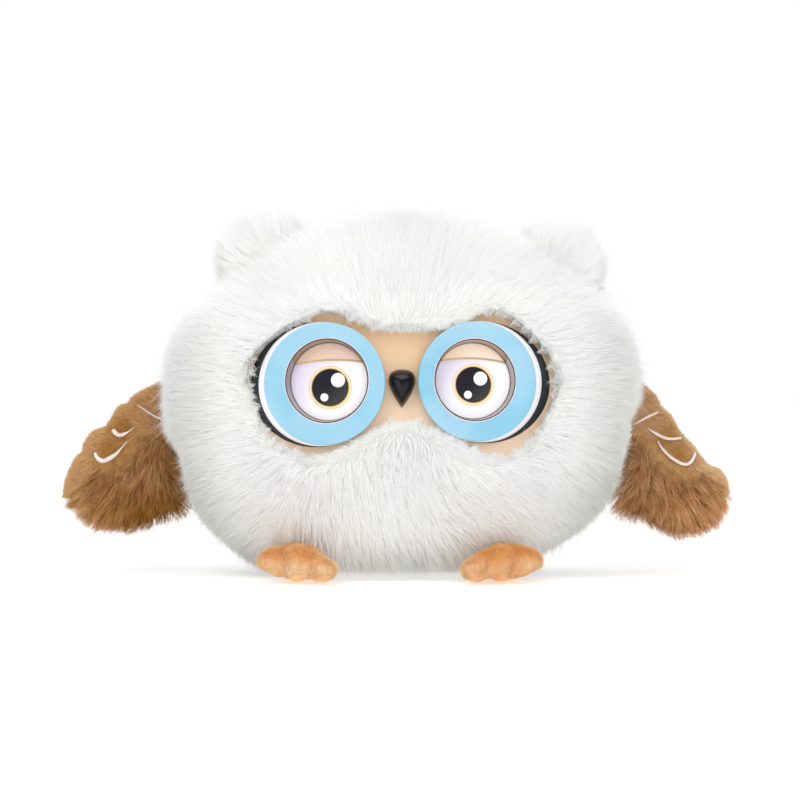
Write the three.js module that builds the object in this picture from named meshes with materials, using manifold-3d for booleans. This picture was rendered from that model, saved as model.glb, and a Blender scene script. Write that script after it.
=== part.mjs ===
// A plush owl with a moulded face: a squat stuffed body in long white pile, two ear tufts, two swinging wings,
// two three-toed feet, and a hard goggle-shaped mask that carries two leaning eye pods and a safety beak.
// Millimetres, +Z up. The owl faces -Y and stands on z = 0, with the origin under the middle of its outline.
// "left" and "right" are the owl's own sides: its left is +X.

import * as THREE from 'three';
import { mergeVertices } from 'three/addons/utils/BufferGeometryUtils.js';
import Module from 'manifold-3d';

const wasm = await Module();
wasm.setup();

// Clearances shared by every piece
const seatGap = 0.3; // between pieces that touch on the real toy
const runGap = 0.4; // round the wing's seam roll, which turns in its fold
const overrun = 40; // how far a cutter runs past what it cuts

// Stuffed body, measured over the pile
const bodyHalfWidth = 99;
const bodyHalfDepth = 70;
const bodyRiseAbove = 76;
const bodyRiseBelow = 85; // of the full form
const bodySeatCut = 11; // how much of that the flattened seat takes away
const bodySquareness = 2.2;
const coverWall = 14; // pile, backing cloth and the padding sewn to it
const coverFloor = 8;
const bodyMiddleHeight = bodyRiseBelow - bodySeatCut;

// Ear tufts
const earHalfWidth = 20;
const earHalfDepth = 16;
const earRise = 19;
const earSetIn = 43; // its middle in from the body's widest
const earSetBack = 4;
const earSink = 5.2; // its middle below the body's surface
const earSquareness = 2.3;
const earTilt = THREE.MathUtils.degToRad(14);

// Feet
const footSpread = 42.5;
const footReach = 7.3; // the pad's middle ahead of the body's front at that height
const padHalfWidth = 14;
const padHalfDepth = 15;
const padHalfHeight = 8;
const toeHalfWidth = 6.6;
const toeHalfLength = 11;
const toeHalfHeight = 8;
const toePitch = 9.8; // from toe to toe across the foot
const toeReach = 14; // middle toe ahead of the pad's middle
const toeStagger = 5; // the inner toe stands ahead of the middle one, the outer toe behind it
const toeFan = THREE.MathUtils.degToRad(14);
const soleCut = 0.5; // depth of the flat that each toe rests on

// Weighted pouch in the seat of the body
const pouchHalfWidth = 38;
const pouchHalfDepth = 30;
const pouchHalfHeight = 9;

// Wings: span and drop of the outline, its thickness, and the sewn roll that it turns on
const wingSpan = 45.5;
const wingDrop = 65;
const wingThickness = 19;
const wingFootBelow = 59; // the lowest point of the outline below the body's middle
const wingWebHalf = 0.6; // half the thickness of the cloth where the outline meets the roll
const wingWebSlope = 0.2; // how fast the web thickens away from the roll
const rollRadius = 4.2;
const rollAbove = 8; // its ends above and below the body's middle
const rollBelow = 30;
const rollSink = 1.2; // the roll's axis below the body's surface at its middle
const rollSetBack = 2;
// Shares of the span, out from the roll, and of the drop, up from the lowest point.
const wingOutlineShares = [
  [0.04, 0.985], [0.2, 0.955], [0.31, 0.9], [0.36, 0.835], [0.48, 0.785], [0.56, 0.67], [0.685, 0.605],
  [0.775, 0.495], [0.885, 0.415], [0.96, 0.305], [0.96, 0.17], [0.86, 0.075], [0.69, 0.018], [0.48, 0],
  [0.28, 0.035], [0.12, 0.12], [0.02, 0.25], [0, 0.42],
];
const wingMiddleShares = [0.48, 0.42];

// Face mask: part of an upright drum, cut to a goggle outline
const faceSink = 6.5; // mask's foremost line behind the pile's
const faceRise = 6.2; // above the body's middle
const facePitch = THREE.MathUtils.degToRad(5);
const maskDrumRadius = 155;
const maskWall = 2.4;
const lobeRadius = 32.5;
const bridgeTop = 19; // control heights of the outline between the lobes
const bridgeBottom = -9;
const bridgeAngle = THREE.MathUtils.degToRad(60); // where the bridge leaves each lobe
const collarWall = 1.6; // cloth edge that is clamped behind the mask
const collarDepth = 3.4; // how far it reaches in
const plateWall = 2;

// Eyes, each in its own frame: y = 0 on the ring's face, +y into the head
const eyeSpread = 30.6;
const eyeYawShare = 0.85; // of the drum's own slope at the eye's middle
const ringRadius = 24.2;
const ringWall = 1.2;
const ringFillet = 0.5;
const podRadius = 24.5;
const podRim = 2.4; // thickness of the pod's white rim
const podLean = 0.62; // sideways run of the rim for each millimetre of depth
const gasketDepth = 2.4; // between the rim and the mask, at the eye's middle
const windowRadius = 17.3;
const windowTowardsBeak = 1;
const windowRaise = 0.75;
const barrelWall = 1.8;
const barrelLength = 15;
const barrelFloor = 1.5;
const bezelWall = 0.45;
const bezelDepth = 5;
const bezelSetIn = 0.3;
const bezelThroat = 15.7;
const discWall = 1.1;
const discDome = 0.7;

// Beak: a safety nose with its shank through the mask and a lock washer behind
const beakHalfWidth = 5.2;
const beakTop = 5.2;
const beakDrop = 9.8;
const beakReach = 8;
const beakShoulder = 1.4; // how far above the shank its flanks keep their width
// Handles of the outline's curves, as shares of the half width and of the drop or the top
const beakTipShares = [[0.42, 0.72], [1, 0.2]];
const beakCrownShares = [[1, 0.78], [0.6, 1]];
const beakDropBelowEyes = 0.3;
const shankRadius = 2;
const shankLength = 8.5;
const washerRadius = 5.5;
const washerWall = 1.2;

// Screws that pull the back plate to the mask, as [x, z] in the face's frame
const screwRadius = 1.3;
const screwLength = 5.4;
const screwHeadRadius = 2.7;
const screwHeadWall = 1.6;
const bossRadius = 2.9;
const pilotGap = 0.2;
const screwPlaces = [[56.2, 0], [-56.2, 0], [0, 16], [0, -11.6]];

// Facets
const bodyFacets = { around: 40, rings: 20 };
const liningFacets = { around: 24, rings: 12 };
const smallFacets = { around: 20, rings: 12 };
const toeFacets = { around: 12, rings: 8 };
const eyeFacets = 44;
const screwFacets = 12;
const drumFacets = 120;
const wingFacets = 44;
const beakFacets = 24;
const lobeSteps = 16;
const rollCapSteps = 4;
const domeShares = [0, 0.35, 0.7, 1];
const pillowShares = [0.93, 0.8, 0.6, 0.34];

// Solids

function solidFrom(geometry) {
  const bare = geometry.clone();
  bare.deleteAttribute('normal');
  bare.deleteAttribute('uv');
  const merged = mergeVertices(bare);
  return new wasm.Manifold(new wasm.Mesh({
    numProp: 3,
    vertProperties: merged.attributes.position.array,
    triVerts: new Uint32Array(merged.index.array),
  }));
}

function geometryFrom(solid) {
  const { vertProperties, triVerts } = solid.getMesh();
  const geometry = new THREE.BufferGeometry();
  geometry.setAttribute('position', new THREE.BufferAttribute(vertProperties, 3));
  geometry.setIndex(new THREE.BufferAttribute(triVerts, 1));
  geometry.computeVertexNormals();
  return geometry;
}

function moved(solid, matrix) {
  return solid.transform(matrix.elements);
}

function shifted(solid, x, y, z) {
  return moved(solid, new THREE.Matrix4().makeTranslation(x, y, z));
}

function meshOf(name, solid, finish) {
  const mesh = new THREE.Mesh(geometryFrom(solid), finish);
  mesh.name = name;
  return mesh;
}

// Forms

const signedPower = (value, power) => Math.sign(value) * Math.abs(value) ** power;

// A stuffed round form: an ellipsoid whose sections are squared a little, with its own rise above and below.
function stuffedRound({ halfWidth, halfDepth, above, below, squareness }, { around, rings }) {
  const power = 2 / squareness;
  const points = [0, 0, -below];
  for (let ring = 1; ring < rings; ring++) {
    const climb = Math.PI * (ring / rings - 1 / 2);
    const out = Math.cos(climb) ** power;
    const up = signedPower(Math.sin(climb), power) * (climb > 0 ? above : below);
    for (let step = 0; step < around; step++) {
      const turn = 2 * Math.PI * step / around;
      points.push(
        halfWidth * out * signedPower(Math.cos(turn), power),
        halfDepth * out * signedPower(Math.sin(turn), power),
        up,
      );
    }
  }
  points.push(0, 0, above);
  const faces = [];
  const top = points.length / 3 - 1;
  const at = (ring, step) => 1 + (ring - 1) * around + step % around;
  for (let step = 0; step < around; step++) {
    faces.push(0, at(1, step + 1), at(1, step));
    for (let ring = 1; ring < rings - 1; ring++) {
      faces.push(at(ring, step), at(ring, step + 1), at(ring + 1, step));
      faces.push(at(ring, step + 1), at(ring + 1, step + 1), at(ring + 1, step));
    }
    faces.push(at(rings - 1, step), at(rings - 1, step + 1), top);
  }
  const geometry = new THREE.BufferGeometry();
  geometry.setAttribute('position', new THREE.Float32BufferAttribute(points, 3));
  geometry.setIndex(faces);
  return solidFrom(geometry);
}

// A pillow over an outline in the XZ plane. frontAt and backAt give its height at a share of the way out.
function pillow(outline, middle, frontAt, backAt) {
  const count = outline.length;
  const points = outline.flatMap((p) => [p.x, 0, p.y]);
  const faces = [];
  const addSide = (heightAt, facing) => {
    let previous = 0;
    const join = (a, b, c) => faces.push(...(facing < 0 ? [a, b, c] : [a, c, b]));
    for (const share of pillowShares) {
      const first = points.length / 3;
      for (const p of outline) {
        const inner = middle.clone().lerp(p, share);
        points.push(inner.x, facing * heightAt(share, inner), inner.y);
      }
      for (let i = 0; i < count; i++) {
        const next = (i + 1) % count;
        join(previous + i, previous + next, first + i);
        join(previous + next, first + next, first + i);
      }
      previous = first;
    }
    const apex = points.length / 3;
    points.push(middle.x, facing * heightAt(0, middle), middle.y);
    for (let i = 0; i < count; i++) join(previous + i, previous + (i + 1) % count, apex);
  };
  addSide(frontAt, -1);
  addSide(backAt, 1);
  const geometry = new THREE.BufferGeometry();
  geometry.setAttribute('position', new THREE.Float32BufferAttribute(points, 3));
  geometry.setIndex(faces);
  return solidFrom(geometry);
}

// A solid of revolution about the Y axis, from [radius, y] pairs that start and end on the axis.
function turned(profile, facets) {
  return solidFrom(new THREE.LatheGeometry(profile.map(([r, y]) => new THREE.Vector2(r, y)), facets));
}

function rod(radius, from, to, facets) {
  return turned([[0, from], [radius, from], [radius, to], [0, to]], facets);
}

function bodyForm(inset, facets) {
  const form = stuffedRound({
    halfWidth: bodyHalfWidth - inset,
    halfDepth: bodyHalfDepth - inset,
    above: bodyRiseAbove - inset,
    below: bodyRiseBelow - inset,
    squareness: bodySquareness,
  }, facets);
  return shifted(form, 0, 0, bodyMiddleHeight);
}

function slabBelow(height) {
  const reach = bodyHalfWidth + overrun;
  const block = solidFrom(new THREE.BoxGeometry(2 * reach, 2 * reach, reach));
  return shifted(block, 0, 0, height - reach / 2);
}

// The share of its full reach that the body's form has left, some share of the way along another axis
function roundShare(alongShare) {
  return (1 - Math.abs(alongShare) ** bodySquareness) ** (1 / bodySquareness);
}

// The body's surface: its top at a distance from the middle, its side and front at a height above the middle
function bodyTopAt(x) {
  return bodyMiddleHeight + bodyRiseAbove * roundShare(x / bodyHalfWidth);
}

function bodySideAt(climb) {
  const rise = climb > 0 ? bodyRiseAbove : bodyRiseBelow;
  return bodyHalfWidth * roundShare(climb / rise);
}

function bodyFrontAt(x, climb) {
  const girthShare = bodySideAt(climb) / bodyHalfWidth;
  return bodyHalfDepth * girthShare * roundShare(x / (bodyHalfWidth * girthShare));
}

// Finishes
const finishes = {
  whitePile: new THREE.MeshStandardMaterial({ color: 0xf1f1ee, roughness: 1 }),
  brownPile: new THREE.MeshStandardMaterial({ color: 0xa9794a, roughness: 1 }),
  peachPile: new THREE.MeshStandardMaterial({ color: 0xe3b283, roughness: 0.95 }),
  fibrefill: new THREE.MeshStandardMaterial({ color: 0xf4f4f2, roughness: 1 }),
  pouchCloth: new THREE.MeshStandardMaterial({ color: 0xd8d2c4, roughness: 0.95 }),
  peachPlastic: new THREE.MeshStandardMaterial({ color: 0xf0cfae, roughness: 0.45 }),
  bluePlastic: new THREE.MeshStandardMaterial({ color: 0xa4d8ee, roughness: 0.35 }),
  whitePlastic: new THREE.MeshStandardMaterial({ color: 0xf3eef0, roughness: 0.35 }),
  blackFoam: new THREE.MeshStandardMaterial({ color: 0x26292c, roughness: 0.9 }),
  smokedMetal: new THREE.MeshStandardMaterial({ color: 0x8d7d73, roughness: 0.3, metalness: 1 }),
  printedDisc: new THREE.MeshStandardMaterial({ color: 0xfdfbfc, roughness: 0.3 }),
  blackPlastic: new THREE.MeshStandardMaterial({ color: 0x15171d, roughness: 0.15 }),
  greyPlastic: new THREE.MeshStandardMaterial({ color: 0x9a9c9e, roughness: 0.6 }),
  steel: new THREE.MeshStandardMaterial({ color: 0xb5b7ba, roughness: 0.35, metalness: 1 }),
};

const owl = new THREE.Group();
const face = new THREE.Group();
face.position.set(0, faceSink - bodyHalfDepth, bodyMiddleHeight + faceRise);
face.rotation.x = -facePitch;
face.updateMatrix();
owl.add(face);

// Wing seam roll: its axis runs along the body's side, sunk a little at its middle
const rollClimb = (rollAbove - rollBelow) / 2;
const rollOut = bodySideAt(rollClimb) - rollSink;
const rollAngle = Math.atan((bodySideAt(rollAbove) - bodySideAt(-rollBelow)) / (rollAbove + rollBelow));

function seamRoll(side, radius, margin) {
  const half = (rollAbove + rollBelow) / 2 / Math.cos(rollAngle) + margin;
  const bar = new THREE.CapsuleGeometry(radius, 2 * (half - radius), rollCapSteps, screwFacets);
  bar.rotateX(Math.PI / 2);
  bar.rotateY(side * rollAngle);
  bar.translate(side * rollOut, rollSetBack, bodyMiddleHeight + rollClimb);
  return solidFrom(bar);
}

// Face outline: two round lobes joined by a bridge, grown or shrunk as a whole
function goggleShape(grow) {
  const radius = lobeRadius + grow;
  const outX = Math.cos(bridgeAngle) * radius;
  const outZ = Math.sin(bridgeAngle) * radius;
  const shape = new THREE.Shape();
  shape.moveTo(-eyeSpread + outX, -outZ);
  shape.quadraticCurveTo(0, bridgeBottom - grow, eyeSpread - outX, -outZ);
  shape.absarc(eyeSpread, 0, radius, -Math.PI + bridgeAngle, Math.PI - bridgeAngle, false);
  shape.quadraticCurveTo(0, bridgeTop + grow, -eyeSpread + outX, outZ);
  shape.absarc(-eyeSpread, 0, radius, bridgeAngle, 2 * Math.PI - bridgeAngle, false);
  return shape;
}

function goggleBar(grow, from, to) {
  const bar = new THREE.ExtrudeGeometry(goggleShape(grow), {
    depth: to - from, bevelEnabled: false, curveSegments: lobeSteps,
  });
  bar.rotateX(Math.PI / 2);
  bar.translate(0, to, 0);
  return solidFrom(bar);
}

// The upright drum that the mask's surfaces are part of, at a depth behind the mask's front
function drum(depth) {
  const tall = 2 * (lobeRadius + overrun);
  const can = new THREE.CylinderGeometry(maskDrumRadius - depth, maskDrumRadius - depth, tall, drumFacets);
  can.rotateX(Math.PI / 2);
  can.translate(0, maskDrumRadius, 0);
  return solidFrom(can);
}

const faceBack = maskWall + collarWall + plateWall + overrun;
const collarFront = maskWall + seatGap;
const collarBack = collarFront + collarWall;
const plateFront = collarBack + seatGap;
const plateBack = plateFront + plateWall;

// Eye frames
const eyeYaw = eyeYawShare * Math.asin(eyeSpread / maskDrumRadius);
const sides = { left: 1, right: -1 };
const barrelRadius = windowRadius + barrelWall;
const rimFront = ringWall + seatGap;
const rimBack = rimFront + podRim;
const discFront = bezelSetIn + bezelDepth + seatGap;
const tubFloor = discFront + discWall + seatGap;
// The ring's middle stands this far ahead of the mask's foremost line
const eyeProud = rimBack + seatGap + gasketDepth - setBackAt(eyeSpread, 0);

function eyeFrame(side) {
  const frame = new THREE.Matrix4().makeRotationZ(side * eyeYaw);
  return frame.setPosition(side * eyeSpread, -eyeProud, 0);
}

function atWindow(solid, side) {
  return shifted(solid, -side * windowTowardsBeak, 0, windowRaise);
}

// A drum that leans outwards with depth, as the pod's rim does
function leaningDisc(side, radius, from, to) {
  const lean = new THREE.Matrix4().set(1, side * podLean, 0, 0, 0, 1, 0, 0, 0, 0, 1, 0, 0, 0, 0, 1);
  return moved(rod(radius, from, to, eyeFacets), lean);
}

function eyeRing(side) {
  const facing = turned([
    [0, 0],
    [ringRadius - ringFillet, 0],
    [ringRadius - ringFillet * (1 - Math.SQRT1_2), ringFillet * (1 - Math.SQRT1_2)],
    [ringRadius, ringFillet],
    [ringRadius, ringWall],
    [0, ringWall],
  ], eyeFacets);
  return facing.subtract(atWindow(rod(windowRadius, -overrun, overrun, eyeFacets), side));
}

function eyePod(side) {
  const rim = leaningDisc(side, podRadius, rimFront, rimBack);
  const barrel = atWindow(rod(barrelRadius, rimFront, barrelLength, eyeFacets), side);
  const tub = atWindow(rod(windowRadius, -overrun, tubFloor, eyeFacets), side);
  const back = atWindow(rod(windowRadius, tubFloor + barrelFloor, barrelLength + overrun, eyeFacets), side);
  return rim.add(barrel).subtract(tub).subtract(back);
}

function eyeGasket(side) {
  const pad = leaningDisc(side, podRadius, rimBack + seatGap, barrelLength + overrun);
  const hole = atWindow(rod(barrelRadius + seatGap, -overrun, barrelLength + 2 * overrun, eyeFacets), side);
  const behind = moved(drum(-seatGap), eyeFrame(side).invert());
  return pad.subtract(hole).subtract(behind);
}

function eyeBezel(side) {
  const outer = windowRadius - seatGap;
  const front = bezelSetIn;
  const back = bezelSetIn + bezelDepth;
  const ring = new THREE.LatheGeometry([
    [bezelThroat, back], [outer - bezelWall, front], [outer, front], [outer, back], [bezelThroat, back],
  ].map(([r, y]) => new THREE.Vector2(r, y)), eyeFacets);
  return atWindow(solidFrom(ring), side);
}

function eyeDisc(side) {
  const edge = windowRadius - seatGap;
  const throat = bezelThroat - seatGap;
  const disc = turned([
    ...domeShares.map((share) => [share * throat, discFront - discDome * (1 - share ** 2)]),
    [edge, discFront],
    [edge, discFront + discWall],
    [0, discFront + discWall],
  ], eyeFacets);
  return atWindow(disc, side);
}

// The beak's outline: round above, drawn to a point below
function beakOutline() {
  const shape = new THREE.Shape();
  const [tipLow, tipHigh] = beakTipShares.map(([out, down]) => [out * beakHalfWidth, -down * beakDrop]);
  const [crownLow, crownHigh] = beakCrownShares.map(([out, up]) => [out * beakHalfWidth, up * beakTop]);
  shape.moveTo(0, -beakDrop);
  shape.bezierCurveTo(...tipLow, ...tipHigh, beakHalfWidth, beakShoulder);
  shape.bezierCurveTo(...crownLow, ...crownHigh, 0, beakTop);
  shape.bezierCurveTo(-crownHigh[0], crownHigh[1], -crownLow[0], crownLow[1], -beakHalfWidth, beakShoulder);
  shape.bezierCurveTo(-tipHigh[0], tipHigh[1], -tipLow[0], tipLow[1], 0, -beakDrop);
  return shape.getSpacedPoints(beakFacets).slice(0, -1);
}

function beak() {
  const dome = (share) => beakReach * Math.sqrt(1 - share ** 2);
  const horn = pillow(beakOutline(), new THREE.Vector2(0, 0), dome, () => 0);
  const shank = rod(shankRadius, -beakReach / 4, shankLength, screwFacets);
  return shifted(horn.add(shank), 0, -seatGap, -beakDropBelowEyes);
}

function washer() {
  const plate = rod(washerRadius, collarFront, collarFront + washerWall, screwFacets);
  const hole = rod(shankRadius + pilotGap, -overrun, overrun, screwFacets);
  return shifted(plate.subtract(hole), 0, 0, -beakDropBelowEyes);
}

// How far behind the mask's foremost line a drum's surface lies, at a distance from the middle
function setBackAt(x, depth) {
  return maskDrumRadius - Math.sqrt((maskDrumRadius - depth) ** 2 - x ** 2);
}

// Screws stand on the plate's back and run forward into the mask's bosses
function screwSeatAt(x) {
  return setBackAt(Math.abs(x) + screwHeadRadius, plateBack + seatGap);
}

function screwAt(x, z) {
  const seat = screwSeatAt(x);
  const head = rod(screwHeadRadius, seat, seat + screwHeadWall, screwFacets);
  const shank = rod(screwRadius, seat - screwLength, seat, screwFacets);
  return shifted(head.add(shank), x, 0, z);
}

function holeAt(x, z, radius) {
  return shifted(rod(radius, -overrun, overrun, screwFacets), x, 0, z);
}

function barrelHole(side) {
  const hole = atWindow(rod(barrelRadius + seatGap, -overrun, overrun, eyeFacets), side);
  return moved(hole, eyeFrame(side));
}

function faceMask() {
  const outline = goggleBar(0, -overrun, faceBack);
  let mask = outline.intersect(drum(0).subtract(drum(maskWall)));
  for (const [x, z] of screwPlaces) {
    const boss = shifted(rod(bossRadius, maskWall / 2, faceBack, screwFacets), x, 0, z);
    mask = mask.add(boss.subtract(drum(plateFront - seatGap)).intersect(drum(maskWall / 2)));
  }
  for (const [x, z] of screwPlaces) {
    const pilot = rod(screwRadius + pilotGap, screwSeatAt(x) - screwLength - seatGap, overrun, screwFacets);
    mask = mask.subtract(shifted(pilot, x, 0, z));
  }
  for (const side of Object.values(sides)) mask = mask.subtract(barrelHole(side));
  return mask.subtract(holeAt(0, -beakDropBelowEyes, shankRadius + seatGap));
}

function backPlate() {
  let plate = goggleBar(-seatGap, -overrun, faceBack).intersect(drum(plateFront).subtract(drum(plateBack)));
  for (const [x, z] of screwPlaces) plate = plate.subtract(holeAt(x, z, screwRadius + seatGap));
  for (const side of Object.values(sides)) plate = plate.subtract(barrelHole(side));
  return plate.subtract(holeAt(0, -beakDropBelowEyes, washerRadius + seatGap));
}

// What the face takes out of the body's cover: a socket for the mask and plate, with the collar left between them
function faceSocket() {
  const socket = goggleBar(seatGap, -overrun, faceBack);
  const throat = goggleBar(-collarDepth, -overrun, faceBack);
  const collar = drum(collarFront).subtract(drum(collarBack)).subtract(throat);
  return moved(socket.subtract(collar), face.matrix);
}

// Stuffed pieces

function pouchForm(grow) {
  const form = stuffedRound({
    halfWidth: pouchHalfWidth + grow,
    halfDepth: pouchHalfDepth + grow,
    above: pouchHalfHeight + grow,
    below: pouchHalfHeight + grow,
    squareness: bodySquareness,
  }, smallFacets);
  return shifted(form, 0, 0, coverFloor + seatGap + pouchHalfHeight);
}

function bodyCover() {
  const lining = bodyForm(coverWall, liningFacets).subtract(slabBelow(coverFloor));
  let cover = bodyForm(0, bodyFacets).subtract(slabBelow(0)).subtract(lining).subtract(faceSocket());
  for (const side of Object.values(sides)) {
    cover = cover.subtract(seamRoll(side, rollRadius + runGap, runGap));
  }
  return cover;
}

function stuffing() {
  const fill = bodyForm(coverWall + seatGap, liningFacets).subtract(slabBelow(coverFloor + seatGap));
  const screwEnds = screwPlaces.map(([x]) => screwSeatAt(x) + screwHeadWall);
  const room = goggleBar(seatGap, -overrun, Math.max(barrelLength, ...screwEnds) + seatGap);
  return fill.subtract(pouchForm(seatGap)).subtract(moved(room, face.matrix));
}

function ear(side) {
  const spread = bodyHalfWidth - earSetIn;
  const tuft = stuffedRound({
    halfWidth: earHalfWidth, halfDepth: earHalfDepth, above: earRise, below: earRise, squareness: earSquareness,
  }, smallFacets);
  const place = new THREE.Matrix4().makeRotationY(side * earTilt);
  place.setPosition(side * spread, earSetBack, bodyTopAt(spread) - earSink);
  return moved(tuft, place).subtract(bodyForm(-seatGap, bodyFacets));
}

function foot(side) {
  const round = (halfWidth, halfLength, halfHeight) => stuffedRound({
    halfWidth, halfDepth: halfLength, above: halfHeight, below: halfHeight, squareness: bodySquareness,
  }, toeFacets);
  let form = shifted(round(padHalfWidth, padHalfDepth, padHalfHeight), 0, 0, padHalfHeight - soleCut);
  for (const step of [-1, 0, 1]) {
    const place = new THREE.Matrix4().makeRotationZ(step * toeFan);
    place.setPosition(step * toePitch, step * toeStagger - toeReach, toeHalfHeight - soleCut);
    form = form.add(moved(round(toeHalfWidth, toeHalfLength, toeHalfHeight), place));
  }
  const mirror = new THREE.Matrix4().makeScale(side, 1, 1);
  const forward = bodyFrontAt(footSpread, padHalfHeight - bodyMiddleHeight) + footReach;
  const placed = shifted(moved(form, mirror), side * footSpread, -forward, 0);
  return placed.subtract(slabBelow(0)).subtract(bodyForm(-seatGap, bodyFacets));
}

function wingOutline() {
  const corners = wingOutlineShares.map(([out, up]) => new THREE.Vector3(out * wingSpan, up * wingDrop, 0));
  const curve = new THREE.CatmullRomCurve3(corners, true, 'centripetal');
  return curve.getSpacedPoints(wingFacets).slice(0, -1).map((p) => new THREE.Vector2(p.x, p.y));
}

function wing(side) {
  const middle = new THREE.Vector2(wingMiddleShares[0] * wingSpan, wingMiddleShares[1] * wingDrop);
  const heightAt = (share, point) => {
    const crown = wingThickness / 2 * Math.sqrt(1 - share ** 2);
    return Math.min(crown, wingWebHalf + wingWebSlope * Math.max(point.x, 0));
  };
  const form = pillow(wingOutline().reverse(), middle, heightAt, heightAt);
  const place = new THREE.Matrix4().makeScale(side, 1, 1);
  place.setPosition(side * rollOut, rollSetBack, bodyMiddleHeight - wingFootBelow);
  return moved(form, place).add(seamRoll(side, rollRadius, 0));
}

// Assembly

owl.add(
  meshOf('body_cover', bodyCover(), finishes.whitePile),
  meshOf('stuffing_core', stuffing(), finishes.fibrefill),
  meshOf('pellet_pouch', pouchForm(0), finishes.pouchCloth),
);
face.add(
  meshOf('face_mask', faceMask(), finishes.peachPlastic),
  meshOf('mask_back_plate', backPlate(), finishes.greyPlastic),
  meshOf('beak', beak(), finishes.blackPlastic),
  meshOf('beak_washer', washer(), finishes.whitePlastic),
);
screwPlaces.forEach(([x, z], index) => {
  face.add(meshOf(`mask_screw_${index + 1}`, screwAt(x, z), finishes.steel));
});
for (const [name, side] of Object.entries(sides)) {
  owl.add(
    meshOf(`ear_${name}`, ear(side), finishes.whitePile),
    meshOf(`foot_${name}`, foot(side), finishes.peachPile),
    meshOf(`wing_${name}`, wing(side), finishes.brownPile),
  );
  const eye = new THREE.Group();
  eye.applyMatrix4(eyeFrame(side));
  eye.add(
    meshOf(`eye_gasket_${name}`, eyeGasket(side), finishes.blackFoam),
    meshOf(`eye_pod_${name}`, eyePod(side), finishes.whitePlastic),
    meshOf(`eye_ring_${name}`, eyeRing(side), finishes.bluePlastic),
    meshOf(`eye_bezel_${name}`, eyeBezel(side), finishes.smokedMetal),
    meshOf(`eye_disc_${name}`, eyeDisc(side), finishes.printedDisc),
  );
  face.add(eye);
}

// The origin goes under the middle of the owl's outline, on the floor.
const outline = new THREE.Box3().setFromObject(owl);
const middle = outline.getCenter(new THREE.Vector3());
owl.position.set(-middle.x, -middle.y, -outline.min.z);

export default owl;
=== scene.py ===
import math

import bmesh
import bpy
import numpy as np
from mathutils import Matrix, Vector


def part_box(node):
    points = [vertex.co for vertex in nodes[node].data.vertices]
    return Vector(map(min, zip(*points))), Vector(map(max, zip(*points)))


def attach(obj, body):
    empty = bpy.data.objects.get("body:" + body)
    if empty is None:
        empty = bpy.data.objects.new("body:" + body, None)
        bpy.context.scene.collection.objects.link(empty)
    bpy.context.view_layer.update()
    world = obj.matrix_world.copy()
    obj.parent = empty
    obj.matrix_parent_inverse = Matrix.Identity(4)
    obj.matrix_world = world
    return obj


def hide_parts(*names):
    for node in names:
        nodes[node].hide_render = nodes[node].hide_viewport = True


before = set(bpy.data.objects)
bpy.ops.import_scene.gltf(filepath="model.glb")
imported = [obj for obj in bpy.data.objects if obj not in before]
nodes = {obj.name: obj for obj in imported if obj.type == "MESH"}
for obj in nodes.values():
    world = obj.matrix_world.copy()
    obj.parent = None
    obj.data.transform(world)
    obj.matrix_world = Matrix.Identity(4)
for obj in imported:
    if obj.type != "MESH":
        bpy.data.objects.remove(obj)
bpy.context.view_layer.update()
mm = 0.001
sides = {"left": 1, "right": -1}  # the owl's own sides: its left is +X


# Small tools

def paint(*colour):  # red, green and blue as they look on screen, made linear
    return tuple((c / 255 / 12.92) if c < 10.3 else ((c / 255 + 0.055) / 1.055) ** 2.4 for c in colour) + (1,)


def smooth(low, high, value):
    t = np.clip((value - low) / (high - low), 0, 1)
    return t * t * (3 - 2 * t)


def unit(rows):
    return rows / np.maximum(np.linalg.norm(rows, axis=1, keepdims=True), 1e-9)


def alongSkin(way, normals):  # without its part along the normal
    return way - normals * np.sum(way * normals, axis=1, keepdims=True)


def newMesh(name, points, faces, shadeSmooth=True):
    mesh = bpy.data.meshes.new(name)
    mesh.from_pydata([tuple(p) for p in points], [], faces)
    mesh.polygons.foreach_set("use_smooth", [shadeSmooth] * len(mesh.polygons))
    mesh.update()
    return mesh


def newObject(name, mesh, *materials):
    piece = bpy.data.objects.new(name, mesh)
    bpy.context.scene.collection.objects.link(piece)
    mesh.materials.clear()
    for material in materials:
        mesh.materials.append(material)
    return piece


def pointsOf(mesh):
    flat = np.empty(len(mesh.vertices) * 3, np.float32)
    mesh.vertices.foreach_get("co", flat)
    return flat.reshape(-1, 3).astype(float)


def normalsOf(mesh):
    flat = np.empty(len(mesh.vertices) * 3, np.float32)
    mesh.vertices.foreach_get("normal", flat)
    return flat.reshape(-1, 3).astype(float)


def setPoints(mesh, rows):
    mesh.vertices.foreach_set("co", np.asarray(rows, np.float32).ravel())
    mesh.update()


def store(mesh, name, values):  # a value for each point, or one for all
    values = np.asarray(values, np.float32)
    if values.ndim == 0:
        values = np.full(len(mesh.vertices), values)
    kind, key = ("FLOAT_VECTOR", "vector") if values.ndim == 2 else ("FLOAT", "value")
    attribute = mesh.attributes.get(name) or mesh.attributes.new(name, kind, "POINT")
    attribute.data.foreach_set(key, values.ravel())


def outward(mesh):  # normals recalculated on a merged, closed mesh
    work = bmesh.new()
    work.from_mesh(mesh)
    bmesh.ops.remove_doubles(work, verts=work.verts, dist=1e-6)
    bmesh.ops.recalc_face_normals(work, faces=work.faces)
    work.to_mesh(mesh)
    work.free()
    return mesh


def addNode(tree, kind, inputs=None, **settings):
    node = tree.nodes.new(kind)
    for key, value in settings.items():
        setattr(node, key, value)
    for key, value in (inputs or {}).items():
        if isinstance(value, bpy.types.NodeSocket):
            tree.links.new(value, node.inputs[key])
        else:
            node.inputs[key].default_value = value
    return node


def maths(tree, operation, *values, clamp=False):
    node = addNode(tree, "ShaderNodeMath", dict(enumerate(values)), operation=operation, use_clamp=clamp)
    return node.outputs[0]


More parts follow.
